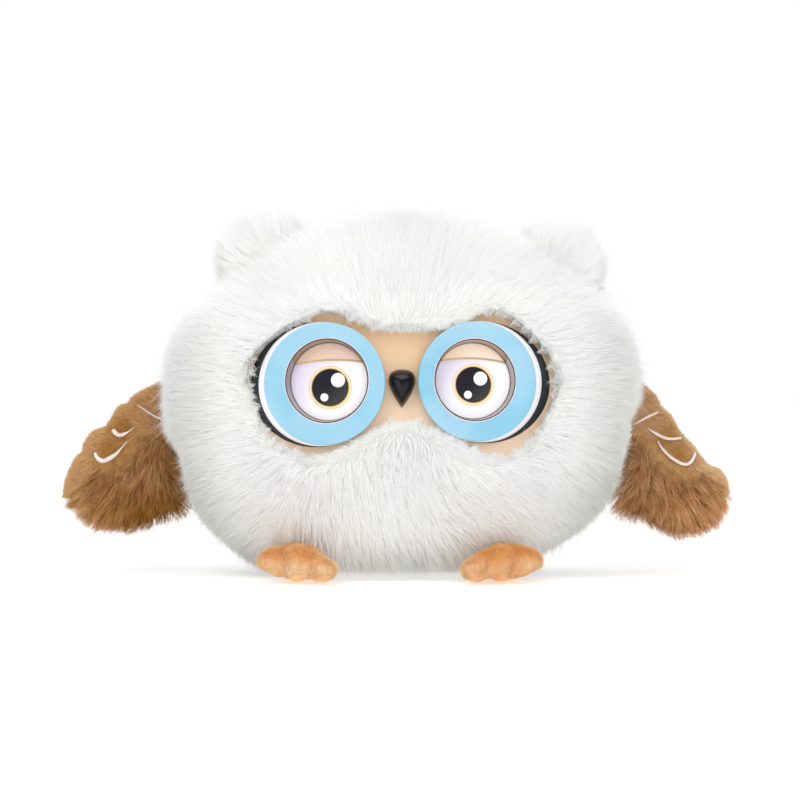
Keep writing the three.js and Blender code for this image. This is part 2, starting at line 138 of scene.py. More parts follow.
def vectors(tree, operation, *values, scale=None):
    inputs = dict(enumerate(values))
    if scale is not None:
        inputs["Scale"] = scale
    node = addNode(tree, "ShaderNodeVectorMath", inputs, operation=operation)
    return node.outputs["Value" if operation in ("DOT_PRODUCT", "LENGTH") else "Vector"]


def mixed(tree, share, first, second, blend="MIX"):
    node = addNode(tree, "ShaderNodeMix", {0: share, 6: first, 7: second}, data_type="RGBA", blend_type=blend)
    return node.outputs[2]


def ramped(tree, value, low, high, toLow=0.0, toHigh=1.0):
    inputs = {"Value": value, "From Min": low, "From Max": high, "To Min": toLow, "To Max": toHigh}
    return addNode(tree, "ShaderNodeMapRange", inputs, interpolation_type="SMOOTHSTEP").outputs[0]


def newGroup(name, kind, inputs, outputs):  # the tree, what it is given, and the sockets of its result
    tree = bpy.data.node_groups.new(name, kind)
    for label, socket, value in inputs:
        item = tree.interface.new_socket(name=label, in_out="INPUT", socket_type="NodeSocket" + socket)
        if value is not None:
            item.default_value = value
    for label, socket in outputs:
        tree.interface.new_socket(name=label, in_out="OUTPUT", socket_type="NodeSocket" + socket)
    return tree, tree.nodes.new("NodeGroupInput").outputs, tree.nodes.new("NodeGroupOutput").inputs


def readNamed(tree, name, kind):
    return addNode(tree, "GeometryNodeInputNamedAttribute", {"Name": name}, data_type=kind).outputs[0]


def storeNamed(tree, geometry, name, value, kind, domain="POINT"):
    return addNode(tree, "GeometryNodeStoreNamedAttribute", {
        "Geometry": geometry, "Name": name, "Value": value}, data_type=kind, domain=domain).outputs[0]


def newMaterial(name, **constants):
    material = bpy.data.materials.new(name)
    material.use_nodes = True
    tree = material.node_tree
    shader = tree.nodes["Principled BSDF"]
    for label, value in constants.items():
        shader.inputs[label.replace("_", " ")].default_value = value
    return material, tree, shader


def placed(tree, group, **inputs):
    node = tree.nodes.new("ShaderNodeGroup")
    node.node_tree = group
    for label, value in inputs.items():
        socket = node.inputs[label.replace("_", " ")]
        if isinstance(value, bpy.types.NodeSocket):
            tree.links.new(value, socket)
        else:
            socket.default_value = value
    return node


# Materials

def makePileColour():
    tree, given, result = newGroup("pileColour", "ShaderNodeTree", [
        ("Root", "Color", (0.5, 0.5, 0.5, 1)), ("Tip", "Color", (1, 1, 1, 1)), ("Patch", "Color", (1, 1, 1, 1)),
        ("Patch Size", "Float", 0.03), ("Patch Amount", "Float", 0.5), ("Strand Variation", "Float", 0.2),
        ("Root Reach", "Float", 0.6), ("Dusk", "Color", (0.5, 0.5, 0.5, 1)),
    ], [("Colour", "Color")])
    share, tint, dusk = (addNode(tree, "ShaderNodeAttribute", attribute_name=name).outputs["Fac"]
                         for name in ("share", "tint", "dusk"))  # dusk is 1 where a piece is painted darker: painted shade
    place = addNode(tree, "ShaderNodeTexCoord").outputs["Object"]
    scale = maths(tree, "DIVIDE", 1.0, given["Patch Size"])
    noise = addNode(tree, "ShaderNodeTexNoise", {"Vector": place, "Scale": scale, "Detail": 2.0}).outputs["Fac"]
    patch = maths(tree, "MULTIPLY", ramped(tree, noise, 0.35, 0.65), given["Patch Amount"])
    climb = maths(tree, "DIVIDE", share, given["Root Reach"], clamp=True)
    colour = mixed(tree, climb, given["Root"], given["Tip"])
    colour = mixed(tree, patch, colour, mixed(tree, 1.0, colour, given["Patch"], "MULTIPLY"))
    # Painted shade: where dusk is 1 the colour is multiplied by the painted shade colour
    colour = mixed(tree, dusk, colour, mixed(tree, 1.0, colour, given["Dusk"], "MULTIPLY"))
    swing = maths(tree, "MULTIPLY", maths(tree, "SUBTRACT", tint, 0.5), given["Strand Variation"])
    level = maths(tree, "ADD", swing, 1.0)
    grey = addNode(tree, "ShaderNodeCombineXYZ", {0: level, 1: level, 2: level}).outputs[0]
    tree.links.new(mixed(tree, 1.0, colour, grey, "MULTIPLY"), result["Colour"])
    return tree


def makeGrain():  # fine moulded grain: a height, and a slow change of shade
    tree, given, result = newGroup("mouldedGrain", "ShaderNodeTree", [
        ("Grain Size", "Float", 0.0005), ("Cloud Size", "Float", 0.02),
    ], [("Height", "Float"), ("Cloud", "Float")])
    place = addNode(tree, "ShaderNodeTexCoord").outputs["Object"]
    grain = addNode(tree, "ShaderNodeTexNoise", {
        "Vector": place, "Scale": maths(tree, "DIVIDE", 1.0, given["Grain Size"]), "Detail": 3.0})
    cloud = addNode(tree, "ShaderNodeTexNoise", {
        "Vector": place, "Scale": maths(tree, "DIVIDE", 1.0, given["Cloud Size"]), "Detail": 1.0})
    tree.links.new(grain.outputs["Fac"], result["Height"])
    tree.links.new(ramped(tree, cloud.outputs["Fac"], 0.3, 0.7), result["Cloud"])
    return tree


pileColour = makePileColour()
mouldedGrain = makeGrain()


def pileMaterial(name, root, tip, patch, patchSize, patchAmount, variation, rootReach, dusk):
    material, tree, shader = newMaterial(name, Roughness=0.9, Specular_IOR_Level=0.15)
    group = placed(tree, pileColour, Root=paint(*root), Tip=paint(*tip), Patch=paint(*patch), Patch_Size=patchSize,
                   Patch_Amount=patchAmount, Strand_Variation=variation, Root_Reach=rootReach, Dusk=paint(*dusk))
    tree.links.new(group.outputs["Colour"], shader.inputs["Base Color"])
    return material


def mouldedMaterial(name, colour, shade, roughness, grainSize=0.0005, depth=0.00002, high=None, **constants):
    material, tree, shader = newMaterial(name, **constants)
    group = placed(tree, mouldedGrain, Grain_Size=grainSize)
    look = mixed(tree, group.outputs["Cloud"], paint(*colour), paint(*shade))
    if high:  # another colour from one height up to another: painted shade on the mask's upper part, a painted highlight on the blue rings' tops
        place = addNode(tree, "ShaderNodeSeparateXYZ", {0: addNode(tree, "ShaderNodeTexCoord").outputs["Object"]})
        look = mixed(tree, ramped(tree, place.outputs[2], high[0], high[1]), look, paint(*high[2]))
    tree.links.new(look, shader.inputs["Base Color"])
    rough = ramped(tree, group.outputs["Height"], 0.2, 0.8, roughness * 0.85, roughness * 1.15)
    tree.links.new(rough, shader.inputs["Roughness"])
    bump = addNode(tree, "ShaderNodeBump", {"Height": group.outputs["Height"], "Distance": depth, "Strength": 0.6})
    tree.links.new(bump.outputs[0], shader.inputs["Normal"])
    return material


pileFinish = {  # screen colours, patches' size and strength, how far strands differ, the root colour's reach, and the colour of the painted shade
    "whitePile": {"root": (248, 248, 245), "tip": (254, 254, 252), "patch": (251, 251, 254), "patchSize": 0.03,
                  "patchAmount": 0.5, "variation": 0.03, "rootReach": 0.7, "dusk": (200, 200, 194)},
    "brownPile": {"root": (132, 84, 36), "tip": (252, 204, 152), "patch": (236, 204, 168), "patchSize": 0.01,
                  "patchAmount": 0.5, "variation": 0.8, "rootReach": 0.9, "dusk": (196, 180, 124)},
    "brownNap": {"root": (200, 158, 108), "tip": (234, 198, 156), "patch": (244, 236, 228), "patchSize": 0.01,
                 "patchAmount": 0.5, "variation": 0.24, "rootReach": 0.8, "dusk": (224, 202, 150)},
    "peachPile": {"root": (244, 214, 173), "tip": (251, 229, 195), "patch": (251, 231, 208), "patchSize": 0.008,
                  "patchAmount": 0.6, "variation": 0.12, "rootReach": 0.8, "dusk": (246, 218, 176)},
}
whitePile, brownPile, brownNap, peachPile = (pileMaterial(name, **finish) for name, finish in pileFinish.items())
# The mask's upper part is painted darker and more orange: painted shade under the pile at the brow
peachPlastic = mouldedMaterial("peachPlastic", (244, 212, 180), (246, 218, 190), 0.42,
                               high=(0.066, 0.1, (235, 197, 156)))
# The blue rings' tops are painted lighter: a painted highlight
bluePlastic = mouldedMaterial("bluePlastic", (136, 196, 220), (158, 204, 226), 0.3,
                              high=(0.094, 0.106, (164, 206, 226)))
whitePlastic = mouldedMaterial("whitePlastic", (244, 238, 242), (250, 246, 248), 0.32)
blackFoam = mouldedMaterial("blackFoam", (38, 41, 45), (52, 55, 60), 0.85, grainSize=0.0004, depth=0.0001)
smokedMetal = mouldedMaterial("smokedMetal", (186, 176, 172), (170, 160, 156), 0.22, depth=0.000005, Metallic=1.0)
darkLine = mouldedMaterial("darkLine", (84, 72, 66), (92, 78, 72), 0.5)
blackGloss = mouldedMaterial("blackGloss", (6, 7, 13), (9, 10, 18), 0.32, depth=0.000002, Specular_IOR_Level=0.4)
creamThread = mouldedMaterial("creamThread", (250, 240, 236), (244, 232, 226), 0.45, grainSize=0.0008, depth=0.00001)
greyPlastic = mouldedMaterial("greyPlastic", (154, 156, 158), (164, 166, 168), 0.6)
steelFinish = mouldedMaterial("steelFinish", (181, 183, 186), (170, 172, 176), 0.35, Metallic=1.0)
fibrefill = mouldedMaterial("fibrefill", (244, 244, 242), (236, 236, 234), 0.95, grainSize=0.001, depth=0.0004)
pouchCloth = mouldedMaterial("pouchCloth", (216, 210, 196), (206, 200, 186), 0.9, grainSize=0.0008, depth=0.0002)
print("materials made")


# Pile laid by Geometry Nodes: strands from a stock of bent, tapered shapes stand on a skin

pileStock = {  # widths as shares of the length, rings along it, and how far each shape bows and sways
    "long": {"width": 0.022, "rings": (0, 0.5),
             "bends": ((0.10, 0.05), (0.16, -0.06), (0.22, 0.03), (0.13, 0.12), (0.06, -0.12))},
    "fine": {"width": 0.034, "rings": (0,), "bends": ((0, 0.0), (0, 0.1), (0, -0.1), (0, 0.2))},
    "rim": {"width": 0.024, "rings": (0,), "bends": ((0, 0.0), (0, 0.03), (0, -0.03))},
    "guard": {"width": 0.013, "rings": (0, 0.5), "bends": ((0.04, 0.05), (0.08, -0.06), (0.12, 0.03), (0.06, 0.12))},
    "short": {"width": 0.14, "rings": (0,), "bends": ((0.1, 0.0), (0.05, 0.1), (0.1, -0.1))},
}


def strandStock(name, width, rings, bends):
    stock = bpy.data.collections.new(name + "Stock")
    for number, (bow, sway) in enumerate(bends):
        points, shares = [], []
        for share in rings:
            middle = Vector((bow * 4 * share * (1 - share), sway * share * share, share))
            for corner in range(3):
                turn = 2 * math.pi * corner / 3
                radius = width / 2 * (1 - share) ** 0.7
                points.append(middle + Vector((radius * math.cos(turn), radius * math.sin(turn), 0)))
                shares.append(share)
        points.append(Vector((0, sway, 1)))
        shares.append(1)
        faces, places = [(2, 1, 0)], [((0.02, 0.02), (0.3, 0.02), (0.3, 0.1))]
        for ring in range(len(rings)):
            for corner in range(3):
                a, b = 3 * ring + corner, 3 * ring + (corner + 1) % 3
                left, right = corner / 3 + 0.02, (corner + 1) / 3 - 0.02
                low = 0.16 + 0.84 * rings[ring]
                if ring + 1 < len(rings):
                    high = 0.16 + 0.84 * rings[ring + 1]
                    faces.append((a, b, b + 3, a + 3))
                    places.append(((left, low), (right, low), (right, high), (left, high)))
                else:
                    faces.append((a, b, len(points) - 1))
                    places.append(((left, low), (right, low), ((left + right) / 2, 1)))
        mesh = newMesh(f"{name}Strand{number}", points, faces)
        layer = mesh.uv_layers.new(name="place")
        for polygon, corners in zip(mesh.polygons, places):
            for loop, corner in zip(polygon.loop_indices, corners):
                layer.data[loop].uv = corner
        store(mesh, "share", shares)
        stock.objects.link(bpy.data.objects.new(mesh.name, mesh))
    return stock


def makePileTree():
    tree, given, result = newGroup("layPile", "GeometryNodeTree", [
        ("Geometry", "Geometry", None), ("Stock", "Collection", None), ("Strands Per Square Metre", "Float", 1e6),
        ("Clump Size", "Float", 0.005), ("Clump Pull", "Float", 0.4), ("Tousle", "Float", 0.2),
        ("Jitter", "Float", 0.2), ("Length Variation", "Float", 0.3), ("Soft Shading", "Float", 0.45),
        ("Seed", "Int", 1), ("Material", "Material", None),
    ], [("Geometry", "Geometry")])
    tree.is_modifier = True
    read = lambda name, kind: readNamed(tree, name, kind)
    seed = given["Seed"]
    density = maths(tree, "MULTIPLY", given["Strands Per Square Metre"], read("growth", "FLOAT"))
    scatter = addNode(tree, "GeometryNodeDistributePointsOnFaces", {
        "Mesh": given["Geometry"], "Density": density, "Seed": seed})
    normal = scatter.outputs["Normal"]
    shut = addNode(tree, "FunctionNodeCompare", {0: read("open", "FLOAT"), 1: 0.0}, operation="LESS_THAN").outputs[0]
    kept = addNode(tree, "GeometryNodeDeleteGeometry", {
        "Geometry": scatter.outputs["Points"], "Selection": shut}, domain="POINT")

    def randomValue(kind, low, high, shift):
        own = maths(tree, "ADD", seed, float(shift))
        node = addNode(tree, "FunctionNodeRandomValue", {"Seed": own}, data_type=kind)
        numbers = {"FLOAT_VECTOR": (0, 1, 0), "FLOAT": (2, 3, 1), "INT": (4, 5, 2)}[kind]
        node.inputs[numbers[0]].default_value = low
        node.inputs[numbers[1]].default_value = high
        return node.outputs[numbers[2]]

    rooted = storeNamed(tree, kept.outputs[0], "tint", randomValue("FLOAT", 0.0, 1.0, 11), "FLOAT")
    rooted = storeNamed(tree, rooted, "strand", addNode(tree, "GeometryNodeInputIndex").outputs[0], "INT")
    rooted = storeNamed(tree, rooted, "under", normal, "FLOAT_VECTOR")
    count = addNode(tree, "GeometryNodeAttributeDomainSize", {0: rooted}, component="POINTCLOUD").outputs[0]

    # A strand's run from root to tip: lift and comb, drawn to its clump, with a little disorder
    position = addNode(tree, "GeometryNodeInputPosition").outputs[0]
    lift, comb = read("lift", "FLOAT"), read("comb", "FLOAT_VECTOR")
    stand = vectors(tree, "SCALE", normal, scale=maths(tree, "SINE", lift))
    lie = vectors(tree, "SCALE", comb, scale=maths(tree, "COSINE", lift))
    cell = addNode(tree, "ShaderNodeTexVoronoi", {
        "Vector": position, "Scale": maths(tree, "DIVIDE", 1.0, given["Clump Size"])}, voronoi_dimensions="3D")
    pull = vectors(tree, "SUBTRACT", cell.outputs["Position"], position)
    out = vectors(tree, "SCALE", normal, scale=vectors(tree, "DOT_PRODUCT", pull, normal))
    pull = vectors(tree, "SCALE", vectors(tree, "SUBTRACT", pull, out), scale=given["Clump Pull"])
    tousle = vectors(tree, "SUBTRACT", cell.outputs["Color"], (0.5, 0.5, 0.5))
    tousle = vectors(tree, "SCALE", tousle, scale=given["Tousle"])
    jitter = randomValue("FLOAT_VECTOR", (-1, -1, -1), (1, 1, 1), 23)
    jitter = vectors(tree, "SCALE", jitter, scale=given["Jitter"])
    way = vectors(tree, "ADD", vectors(tree, "ADD", stand, lie), vectors(tree, "ADD", tousle, jitter))
    change = maths(tree, "MULTIPLY", randomValue("FLOAT", -1.0, 1.0, 37), given["Length Variation"])
    length = maths(tree, "MULTIPLY", read("pile", "FLOAT"), maths(tree, "ADD", change, 1.0))
    run = vectors(tree, "ADD", vectors(tree, "SCALE", vectors(tree, "NORMALIZE", way), scale=length), pull)
    turn = addNode(tree, "FunctionNodeAlignRotationToVector", {"Vector": run}, axis="Z")
    turn = addNode(tree, "FunctionNodeAlignRotationToVector", {
        "Rotation": turn.outputs[0], "Vector": normal}, axis="X", pivot_axis="Z")
    stock = addNode(tree, "GeometryNodeCollectionInfo", {
        "Collection": given["Stock"], "Separate Children": True, "Reset Children": True})
    size = vectors(tree, "LENGTH", run)
    strands = addNode(tree, "GeometryNodeInstanceOnPoints", {
        "Points": rooted, "Instance": stock.outputs[0], "Pick Instance": True,
        "Instance Index": randomValue("INT", 0, 59, 41), "Rotation": turn.outputs[0],
        "Scale": addNode(tree, "ShaderNodeCombineXYZ", {0: size, 1: size, 2: size}).outputs[0]})
    real = addNode(tree, "GeometryNodeRealizeInstances", {"Geometry": strands.outputs[0]})

    # A strand's faces are shaded partly as the skin under them, as deep pile looks
    own = vectors(tree, "SCALE", addNode(tree, "GeometryNodeInputNormal").outputs[0],
                  scale=maths(tree, "SUBTRACT", 1.0, given["Soft Shading"]))
    under = vectors(tree, "SCALE", read("under", "FLOAT_VECTOR"), scale=given["Soft Shading"])
    faceted = addNode(tree, "GeometryNodeSetShadeSmooth", {
        "Geometry": real.outputs[0], "Shade Smooth": False}, domain="FACE")
    shaded = addNode(tree, "GeometryNodeSetMeshNormal", {
        "Mesh": faceted.outputs[0], "Custom Normal": vectors(tree, "NORMALIZE", vectors(tree, "ADD", own, under))},
        mode="FREE", domain="CORNER")

    # A cell of the OFBake map for each strand
    across = maths(tree, "CEIL", maths(tree, "SQRT", count))
    number = read("strand", "INT")
    column = maths(tree, "MODULO", number, across)
    row = maths(tree, "FLOOR", maths(tree, "DIVIDE", maths(tree, "ADD", number, 0.5), across))
    corner = addNode(tree, "ShaderNodeCombineXYZ", {0: column, 1: row}).outputs[0]
    inner = vectors(tree, "ADD", vectors(tree, "SCALE", read("place", "FLOAT_VECTOR"), scale=0.86), (0.07, 0.07, 0))
    spot = vectors(tree, "SCALE", vectors(tree, "ADD", corner, inner), scale=maths(tree, "DIVIDE", 1.0, across))
    mapped = storeNamed(tree, shaded.outputs[0], "OFBake", spot, "FLOAT2", "CORNER")
    done = addNode(tree, "GeometryNodeSetMaterial", {"Geometry": mapped, "Material": given["Material"]})
    tree.links.new(done.outputs[0], result["Geometry"])
    return tree


floorPress = 3 * mm  # strands lower than this bend along the floor
stocks = {name: strandStock(name, **values) for name, values in pileStock.items()}
pileTree = makePileTree()


def inputSockets(tree):
    return {item.name: item.identifier for item in tree.interface.items_tree if item.in_out == "INPUT"}


def evaluatedMesh(piece):
    graph = bpy.context.evaluated_depsgraph_get()
    return bpy.data.meshes.new_from_object(piece.evaluated_get(graph), preserve_all_data_layers=True, depsgraph=graph)


pileSocket = inputSockets(pileTree)


def growPile(name, skin, growth, material, body, slot, stock="long", openness=1.0, **values):
    # growth scales the density; no strand stands where openness is below zero
    carrier = bpy.data.objects.new(name + "Carrier", skin.data.copy())
    bpy.context.scene.collection.objects.link(carrier)
    store(carrier.data, "growth", growth)
    store(carrier.data, "open", openness)
    laid = carrier.modifiers.new("layPile", "NODES")
    laid.node_group = pileTree
    laid[pileSocket["Stock"]] = stocks[stock]
    laid[pileSocket["Material"]] = material
    for label, value in values.items():
        laid[pileSocket[label.replace("_", " ")]] = value
    mesh = evaluatedMesh(carrier)
    if "place" in mesh.uv_layers:  # it has served for the OFBake map
        mesh.uv_layers.remove(mesh.uv_layers["place"])
    bpy.data.objects.remove(carrier)
    piece = newObject(name, mesh, material)
    mesh.name = name
    rows = pointsOf(mesh)
    height = rows[:, 2]
    if height.min() < floorPress:
        rows[:, 2] = np.where(height < floorPress, floorPress * np.exp((height - floorPress) / floorPress), height)
        setPoints(mesh, rows)
    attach(piece, body)
    print(f"pile {name}: {len(mesh.polygons)} faces, {sum(len(p.vertices) - 2 for p in mesh.polygons)} triangles")
    return piece


# Curves

def throughPoints(corners, count, closed):  # an even run of points on a smooth curve
    rows = np.array(corners, float)
    many = 24
    ends = len(rows) if closed else len(rows) - 1
    fine = []
    for i in range(ends):
        if closed:
            a, b, c, d = (rows[(i + k) % len(rows)] for k in (-1, 0, 1, 2))
        else:
            a, b, c, d = (rows[min(max(i + k, 0), len(rows) - 1)] for k in (-1, 0, 1, 2))
        square, cube = 2 * a - 5 * b + 4 * c - d, 3 * b - a - 3 * c + d
        for t in np.arange(many) / many:
            fine.append(0.5 * (2 * b + (c - a) * t + square * t * t + cube * t ** 3))
    fine.append(fine[0] if closed else rows[-1])
    fine = np.array(fine)
    along = np.concatenate([[0], np.cumsum(np.linalg.norm(np.diff(fine, axis=0), axis=1))])
    wanted = np.linspace(0, along[-1], count, endpoint=not closed)
    return np.stack([np.interp(wanted, along, fine[:, k]) for k in range(fine.shape[1])], axis=1)


def distanceToPath(spots, path):
    best = np.full(len(spots), 1e9)
    for a, b in zip(path[:-1], path[1:]):
        run = b - a
        t = np.clip(((spots - a) @ run) / max(run @ run, 1e-12), 0, 1)
        best = np.minimum(best, np.linalg.norm(spots - a - t[:, None] * run, axis=1))
    return best


# Body

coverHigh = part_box("body_cover")[1]
bodyShape = {  # pairs are for its left side and its right side
    "halfWidth": 99 * mm, "halfDepth": 70 * mm, "above": 76 * mm, "below": 85 * mm, "squareness": 2.2,
    "inset": 4.5 * mm, "backRise": 2 * mm, "middleHeight": 74 * mm, "seatHeight": 4 * mm,
    "around": 160, "rings": 96, "pocket": 16 * mm, "groove": 2 * mm, "grooveHalfWidth": 3 * mm,
    "shoulder": (1.5 * mm, 5 * mm), "shoulderHeight": 118 * mm, "shoulderReach": 13 * mm,
    "tuck": (7 * mm, 1 * mm), "lowTuck": (6 * mm, 1 * mm),
}
bodyMiddle = Vector((0, coverHigh.y - bodyShape["halfDepth"], bodyShape["middleHeight"]))

# Face outline, in the face's own frame: two round lobes and the bridge between them
faceShape = {
    "sink": 6.5 * mm, "rise": 6.2 * mm, "pitch": math.radians(5),
    "lobeRadius": 32.5 * mm, "lobeSpread": 30.6 * mm, "bridgeTop": 19 * mm, "bridgeBottom": 9 * mm,
    "bridgeAngle": math.radians(60),
}
faceMiddle = bodyMiddle + Vector((0, faceShape["sink"] - bodyShape["halfDepth"], faceShape["rise"]))
faceFrame = Matrix.Translation(faceMiddle) @ Matrix.Rotation(-faceShape["pitch"], 4, "X")


def inFrame(matrix, rows):
    inverse = np.array(matrix.inverted())
    return rows @ inverse[:3, :3].T + inverse[:3, 3]


def goggleDistance(x, z):  # below zero inside the mask's outline
    radius, spread = faceShape["lobeRadius"], faceShape["lobeSpread"]
    lobes = np.hypot(np.abs(x) - spread, z) - radius
    joinX = spread - math.cos(faceShape["bridgeAngle"]) * radius
    joinZ = math.sin(faceShape["bridgeAngle"]) * radius
    t = np.clip((x + joinX) / (2 * joinX), 0, 1)
    ends = (t * t + (1 - t) ** 2) * joinZ
    top = ends + 2 * t * (1 - t) * faceShape["bridgeTop"]
    low = ends + 2 * t * (1 - t) * faceShape["bridgeBottom"]
    bridge = np.maximum(np.maximum(z - top, -low - z), np.abs(x) - joinX)
    return np.minimum(lobes, bridge)


maskView = [  # the mask as the pile leaves it in sight, in millimetres in the face's frame
    (-0.8, 21.5), (5.9, 21.6), (12.7, 21.9), (18.6, 23.3), (24.2, 24.4), (27.1, 26.8), (30.7, 29.1),
    (33.6, 29.9), (36.7, 30.1), (39.9, 29.1), (44.6, 26.2), (49.0, 22.1), (52.8, 18.7), (55.9, 15.5),
    (58.7, 11.8), (60.5, 7.9), (61.4, 4.5), (61.6, 1.1), (61.0, -3.7), (59.5, -8.0), (57.8, -12.3),
    (55.8, -16.3), (53.7, -20.5), (51.2, -24.1), (45.7, -27.4), (38.9, -29.0), (30.7, -27.1), (26.2, -24.9),
    (21.7, -21.3), (16.3, -18.2), (8.2, -16.0), (-0.8, -14.8), (-4.5, -15.6), (-11.3, -17.8), (-16.7, -20.9),
    (-22.6, -24.8), (-29.3, -27.1), (-36.1, -28.1), (-42.9, -26.8), (-49.7, -23.0), (-54.3, -18.9),
    (-56.0, -15.8), (-57.7, -11.1), (-57.8, -7.0), (-59.1, -2.9), (-61.2, 1.1), (-61.6, 5.7), (-60.0, 11.1),
    (-55.8, 15.5), (-50.3, 19.9), (-43.9, 24.2), (-38.5, 27.1), (-33.0, 29.2), (-29.4, 29.6), (-25.9, 29.0),
    (-22.6, 28.1), (-16.7, 25.6), (-11.3, 23.2), (-5.6, 21.8),
]
maskLine = throughPoints(maskView, 150, True) * mm


def viewDistance(x, z):  # below zero where the mask is seen
    spots = np.stack([x, z], axis=1)
    closed = np.vstack([maskLine, maskLine[:1]])
    inside = np.zeros(len(x), bool)
    for a, b in zip(closed[:-1], closed[1:]):
        crosses = (a[1] > z) != (b[1] > z)
        inside ^= crosses & (x < a[0] + (z - a[1]) / np.where(crosses, b[1] - a[1], 1) * (b[0] - a[0]))
    return np.where(inside, -1, 1) * distanceToPath(spots, closed)


def bandFaces(first, bands, around):  # between rings of points that follow one another
    at = lambda ring, step: first + ring * around + step % around
    return [(at(r, s), at(r, s + 1), at(r + 1, s + 1), at(r + 1, s)) for r in range(bands) for s in range(around)]


def roundedForm(shape):  # a squared ellipsoid with its own rise above and below, poles closed
    power = 2 / shape["squareness"]
    bend = lambda value: np.sign(value) * np.abs(value) ** power
    turns = 2 * np.pi * np.arange(shape["around"]) / shape["around"]
    climbs = np.pi * (np.arange(1, shape["rings"]) / shape["rings"] - 0.5)
    inset = shape["inset"]
    rows = []
    for climb in climbs:
        out = math.cos(climb) ** power
        rise = shape["above"] if climb > 0 else shape["below"]
        up = math.copysign(abs(math.sin(climb)) ** power, climb) * (rise - inset)
        rows.append(np.stack([(shape["halfWidth"] - inset) * out * bend(np.cos(turns)),
                              (shape["halfDepth"] - inset) * out * bend(np.sin(turns)),
                              np.full_like(turns, up)], axis=1))
    points = np.concatenate([[[0, 0, inset - shape["below"]]], *rows, [[0, 0, shape["above"] - inset]]])
    around, rings = shape["around"], shape["rings"] - 1
    at = lambda ring, step: 1 + ring * around + step % around
    faces = [(0, at(0, s + 1), at(0, s)) for s in range(around)] + bandFaces(1, rings - 1, around)
    faces += [(at(rings - 1, s), at(rings - 1, s + 1), len(points) - 1) for s in range(around)]
    return points, faces


bodyPile = {
    "length": 8.5 * mm, "rimLength": 8.5 * mm, "seatLength": 3 * mm, "byWing": 3.5 * mm,
    "lift": math.radians(40), "rimLift": math.radians(50), "rimSpill": -0.1 * mm,
    "seamX": 6.4 * mm, "byWingTop": (80 * mm, 66 * mm), "byWingFade": 13 * mm,
    "frontDensity": 4.3e6, "backDensity": 2.3e6, "rimDensity": 7.4e6,
}
faceReach = 40 * mm  # what lies further behind the face than this doesn't belong to its surroundings
maskCover = {  # "reach" is where the skin begins to come forward, "whole" where it has come all the way
    "reach": 5 * mm, "whole": 0.5 * mm, "most": 5 * mm, "inside": 0.6 * mm, "clear": 1 * mm, "unseen": 0.5 * mm,
}


def slopesOf(distance, x, z, step):  # how much a distance grows from one step before to one step after
    return distance(x + step, z) - distance(x - step, z), distance(x, z + step) - distance(x, z - step)


def overMask(points, local, edge, view):  # how far the skin must come forward to lie over the mask's outer edge
    step = 0.3 * mm
    slopeX, slopeZ = slopesOf(goggleDistance, local[:, 0], local[:, 2], step)
    inward = np.maximum(edge + maskCover["inside"], 0) / (2 * step)
    lift = np.zeros(len(points))
    mask = bpy.data.objects["face_mask"]
    covered = (edge < maskCover["reach"]) & (view > maskCover["unseen"]) & (local[:, 1] < faceReach)
    for number in np.flatnonzero(covered):
        x, y, z = points[number]
        spot = Vector((x - slopeX[number] * inward[number], -0.2, z - slopeZ[number] * inward[number]))
        hit, place = mask.ray_cast(spot, Vector((0, 1, 0)))[:2]
        if hit:
            lift[number] = min(max(y - place.y + maskCover["clear"], 0), maskCover["most"])
    return lift * smooth(maskCover["reach"], maskCover["whole"], edge)


def makeBodySkin():
    points, faces = roundedForm(bodyShape)
    points = points + np.array(bodyMiddle)
    local = inFrame(faceFrame, points)
    edge = goggleDistance(local[:, 0], local[:, 2])
    view = viewDistance(local[:, 0], local[:, 2])
    rise = bodyShape["backRise"] * smooth(-5 * mm, 25 * mm, points[:, 1])
    points += unit(points - np.array(bodyMiddle)) * rise[:, None]
    points[:, 1] -= overMask(points, local, edge, view)
    pocket = smooth(0.8 * mm, -2 * mm, view) * bodyShape["pocket"]  # room for the mask
    points[:, 1] += pocket * (local[:, 1] < faceReach)
    beside, height = smooth(10 * mm, 70 * mm, np.abs(points[:, 0])), points[:, 2]
    bySide = lambda key: np.where(points[:, 0] > 0, *bodyShape[key])
    above = (height - bodyShape["shoulderHeight"]) / bodyShape["shoulderReach"]
    shoulder = bySide("shoulder") * np.exp(-above ** 2)
    tuck = bySide("tuck") * smooth(52 * mm, 12 * mm, height)
    tuck += bySide("lowTuck") * smooth(26 * mm, 8 * mm, height)
    points[:, 0] -= np.sign(points[:, 0]) * beside * (shoulder + tuck)
    fromSeam = (points[:, 0] - bodyPile["seamX"]) / bodyShape["grooveHalfWidth"]
    groove = np.exp(-fromSeam ** 2) * smooth(44 * mm, 30 * mm, points[:, 2]) * bodyShape["groove"]
    points[:, 1] += groove * (points[:, 1] < 0)
    seat = bodyShape["seatHeight"]
    points[:, 2] = np.where(points[:, 2] < seat, seat, points[:, 2])
    return newObject("bodySkin", newMesh("bodySkin", points, faces), whitePile)


bodySkin = makeBodySkin()


def settle(mesh, field, normals, rounds):  # neighbouring strands agree; where they can't, they stand up
    edges = np.empty(len(mesh.edges) * 2, np.int32)
    mesh.edges.foreach_get("vertices", edges)
    first, second = edges.reshape(-1, 2).T
    count = 1.0 + np.bincount(first, minlength=len(field)) + np.bincount(second, minlength=len(field))
    for _ in range(rounds):
        total = field.copy()
        for k in range(3):
            received = np.bincount(first, field[second, k], len(field))
            total[:, k] += received + np.bincount(second, field[first, k], len(field))
        field = alongSkin(total / count[:, None], normals)
    return field


# Where the mask's rim pile is tousled: each spot fades in along the face's axes 0 and 2, in millimetres
looseSpots = [
    [(2, 14, 18), (0, -27, -23), (0, 34, 28)],
    [(2, -10, -14), (0, -42, -36), (0, 50, 44)],
    [(0, -52, -56), (2, -11, -8), (2, 2, -1)],
]


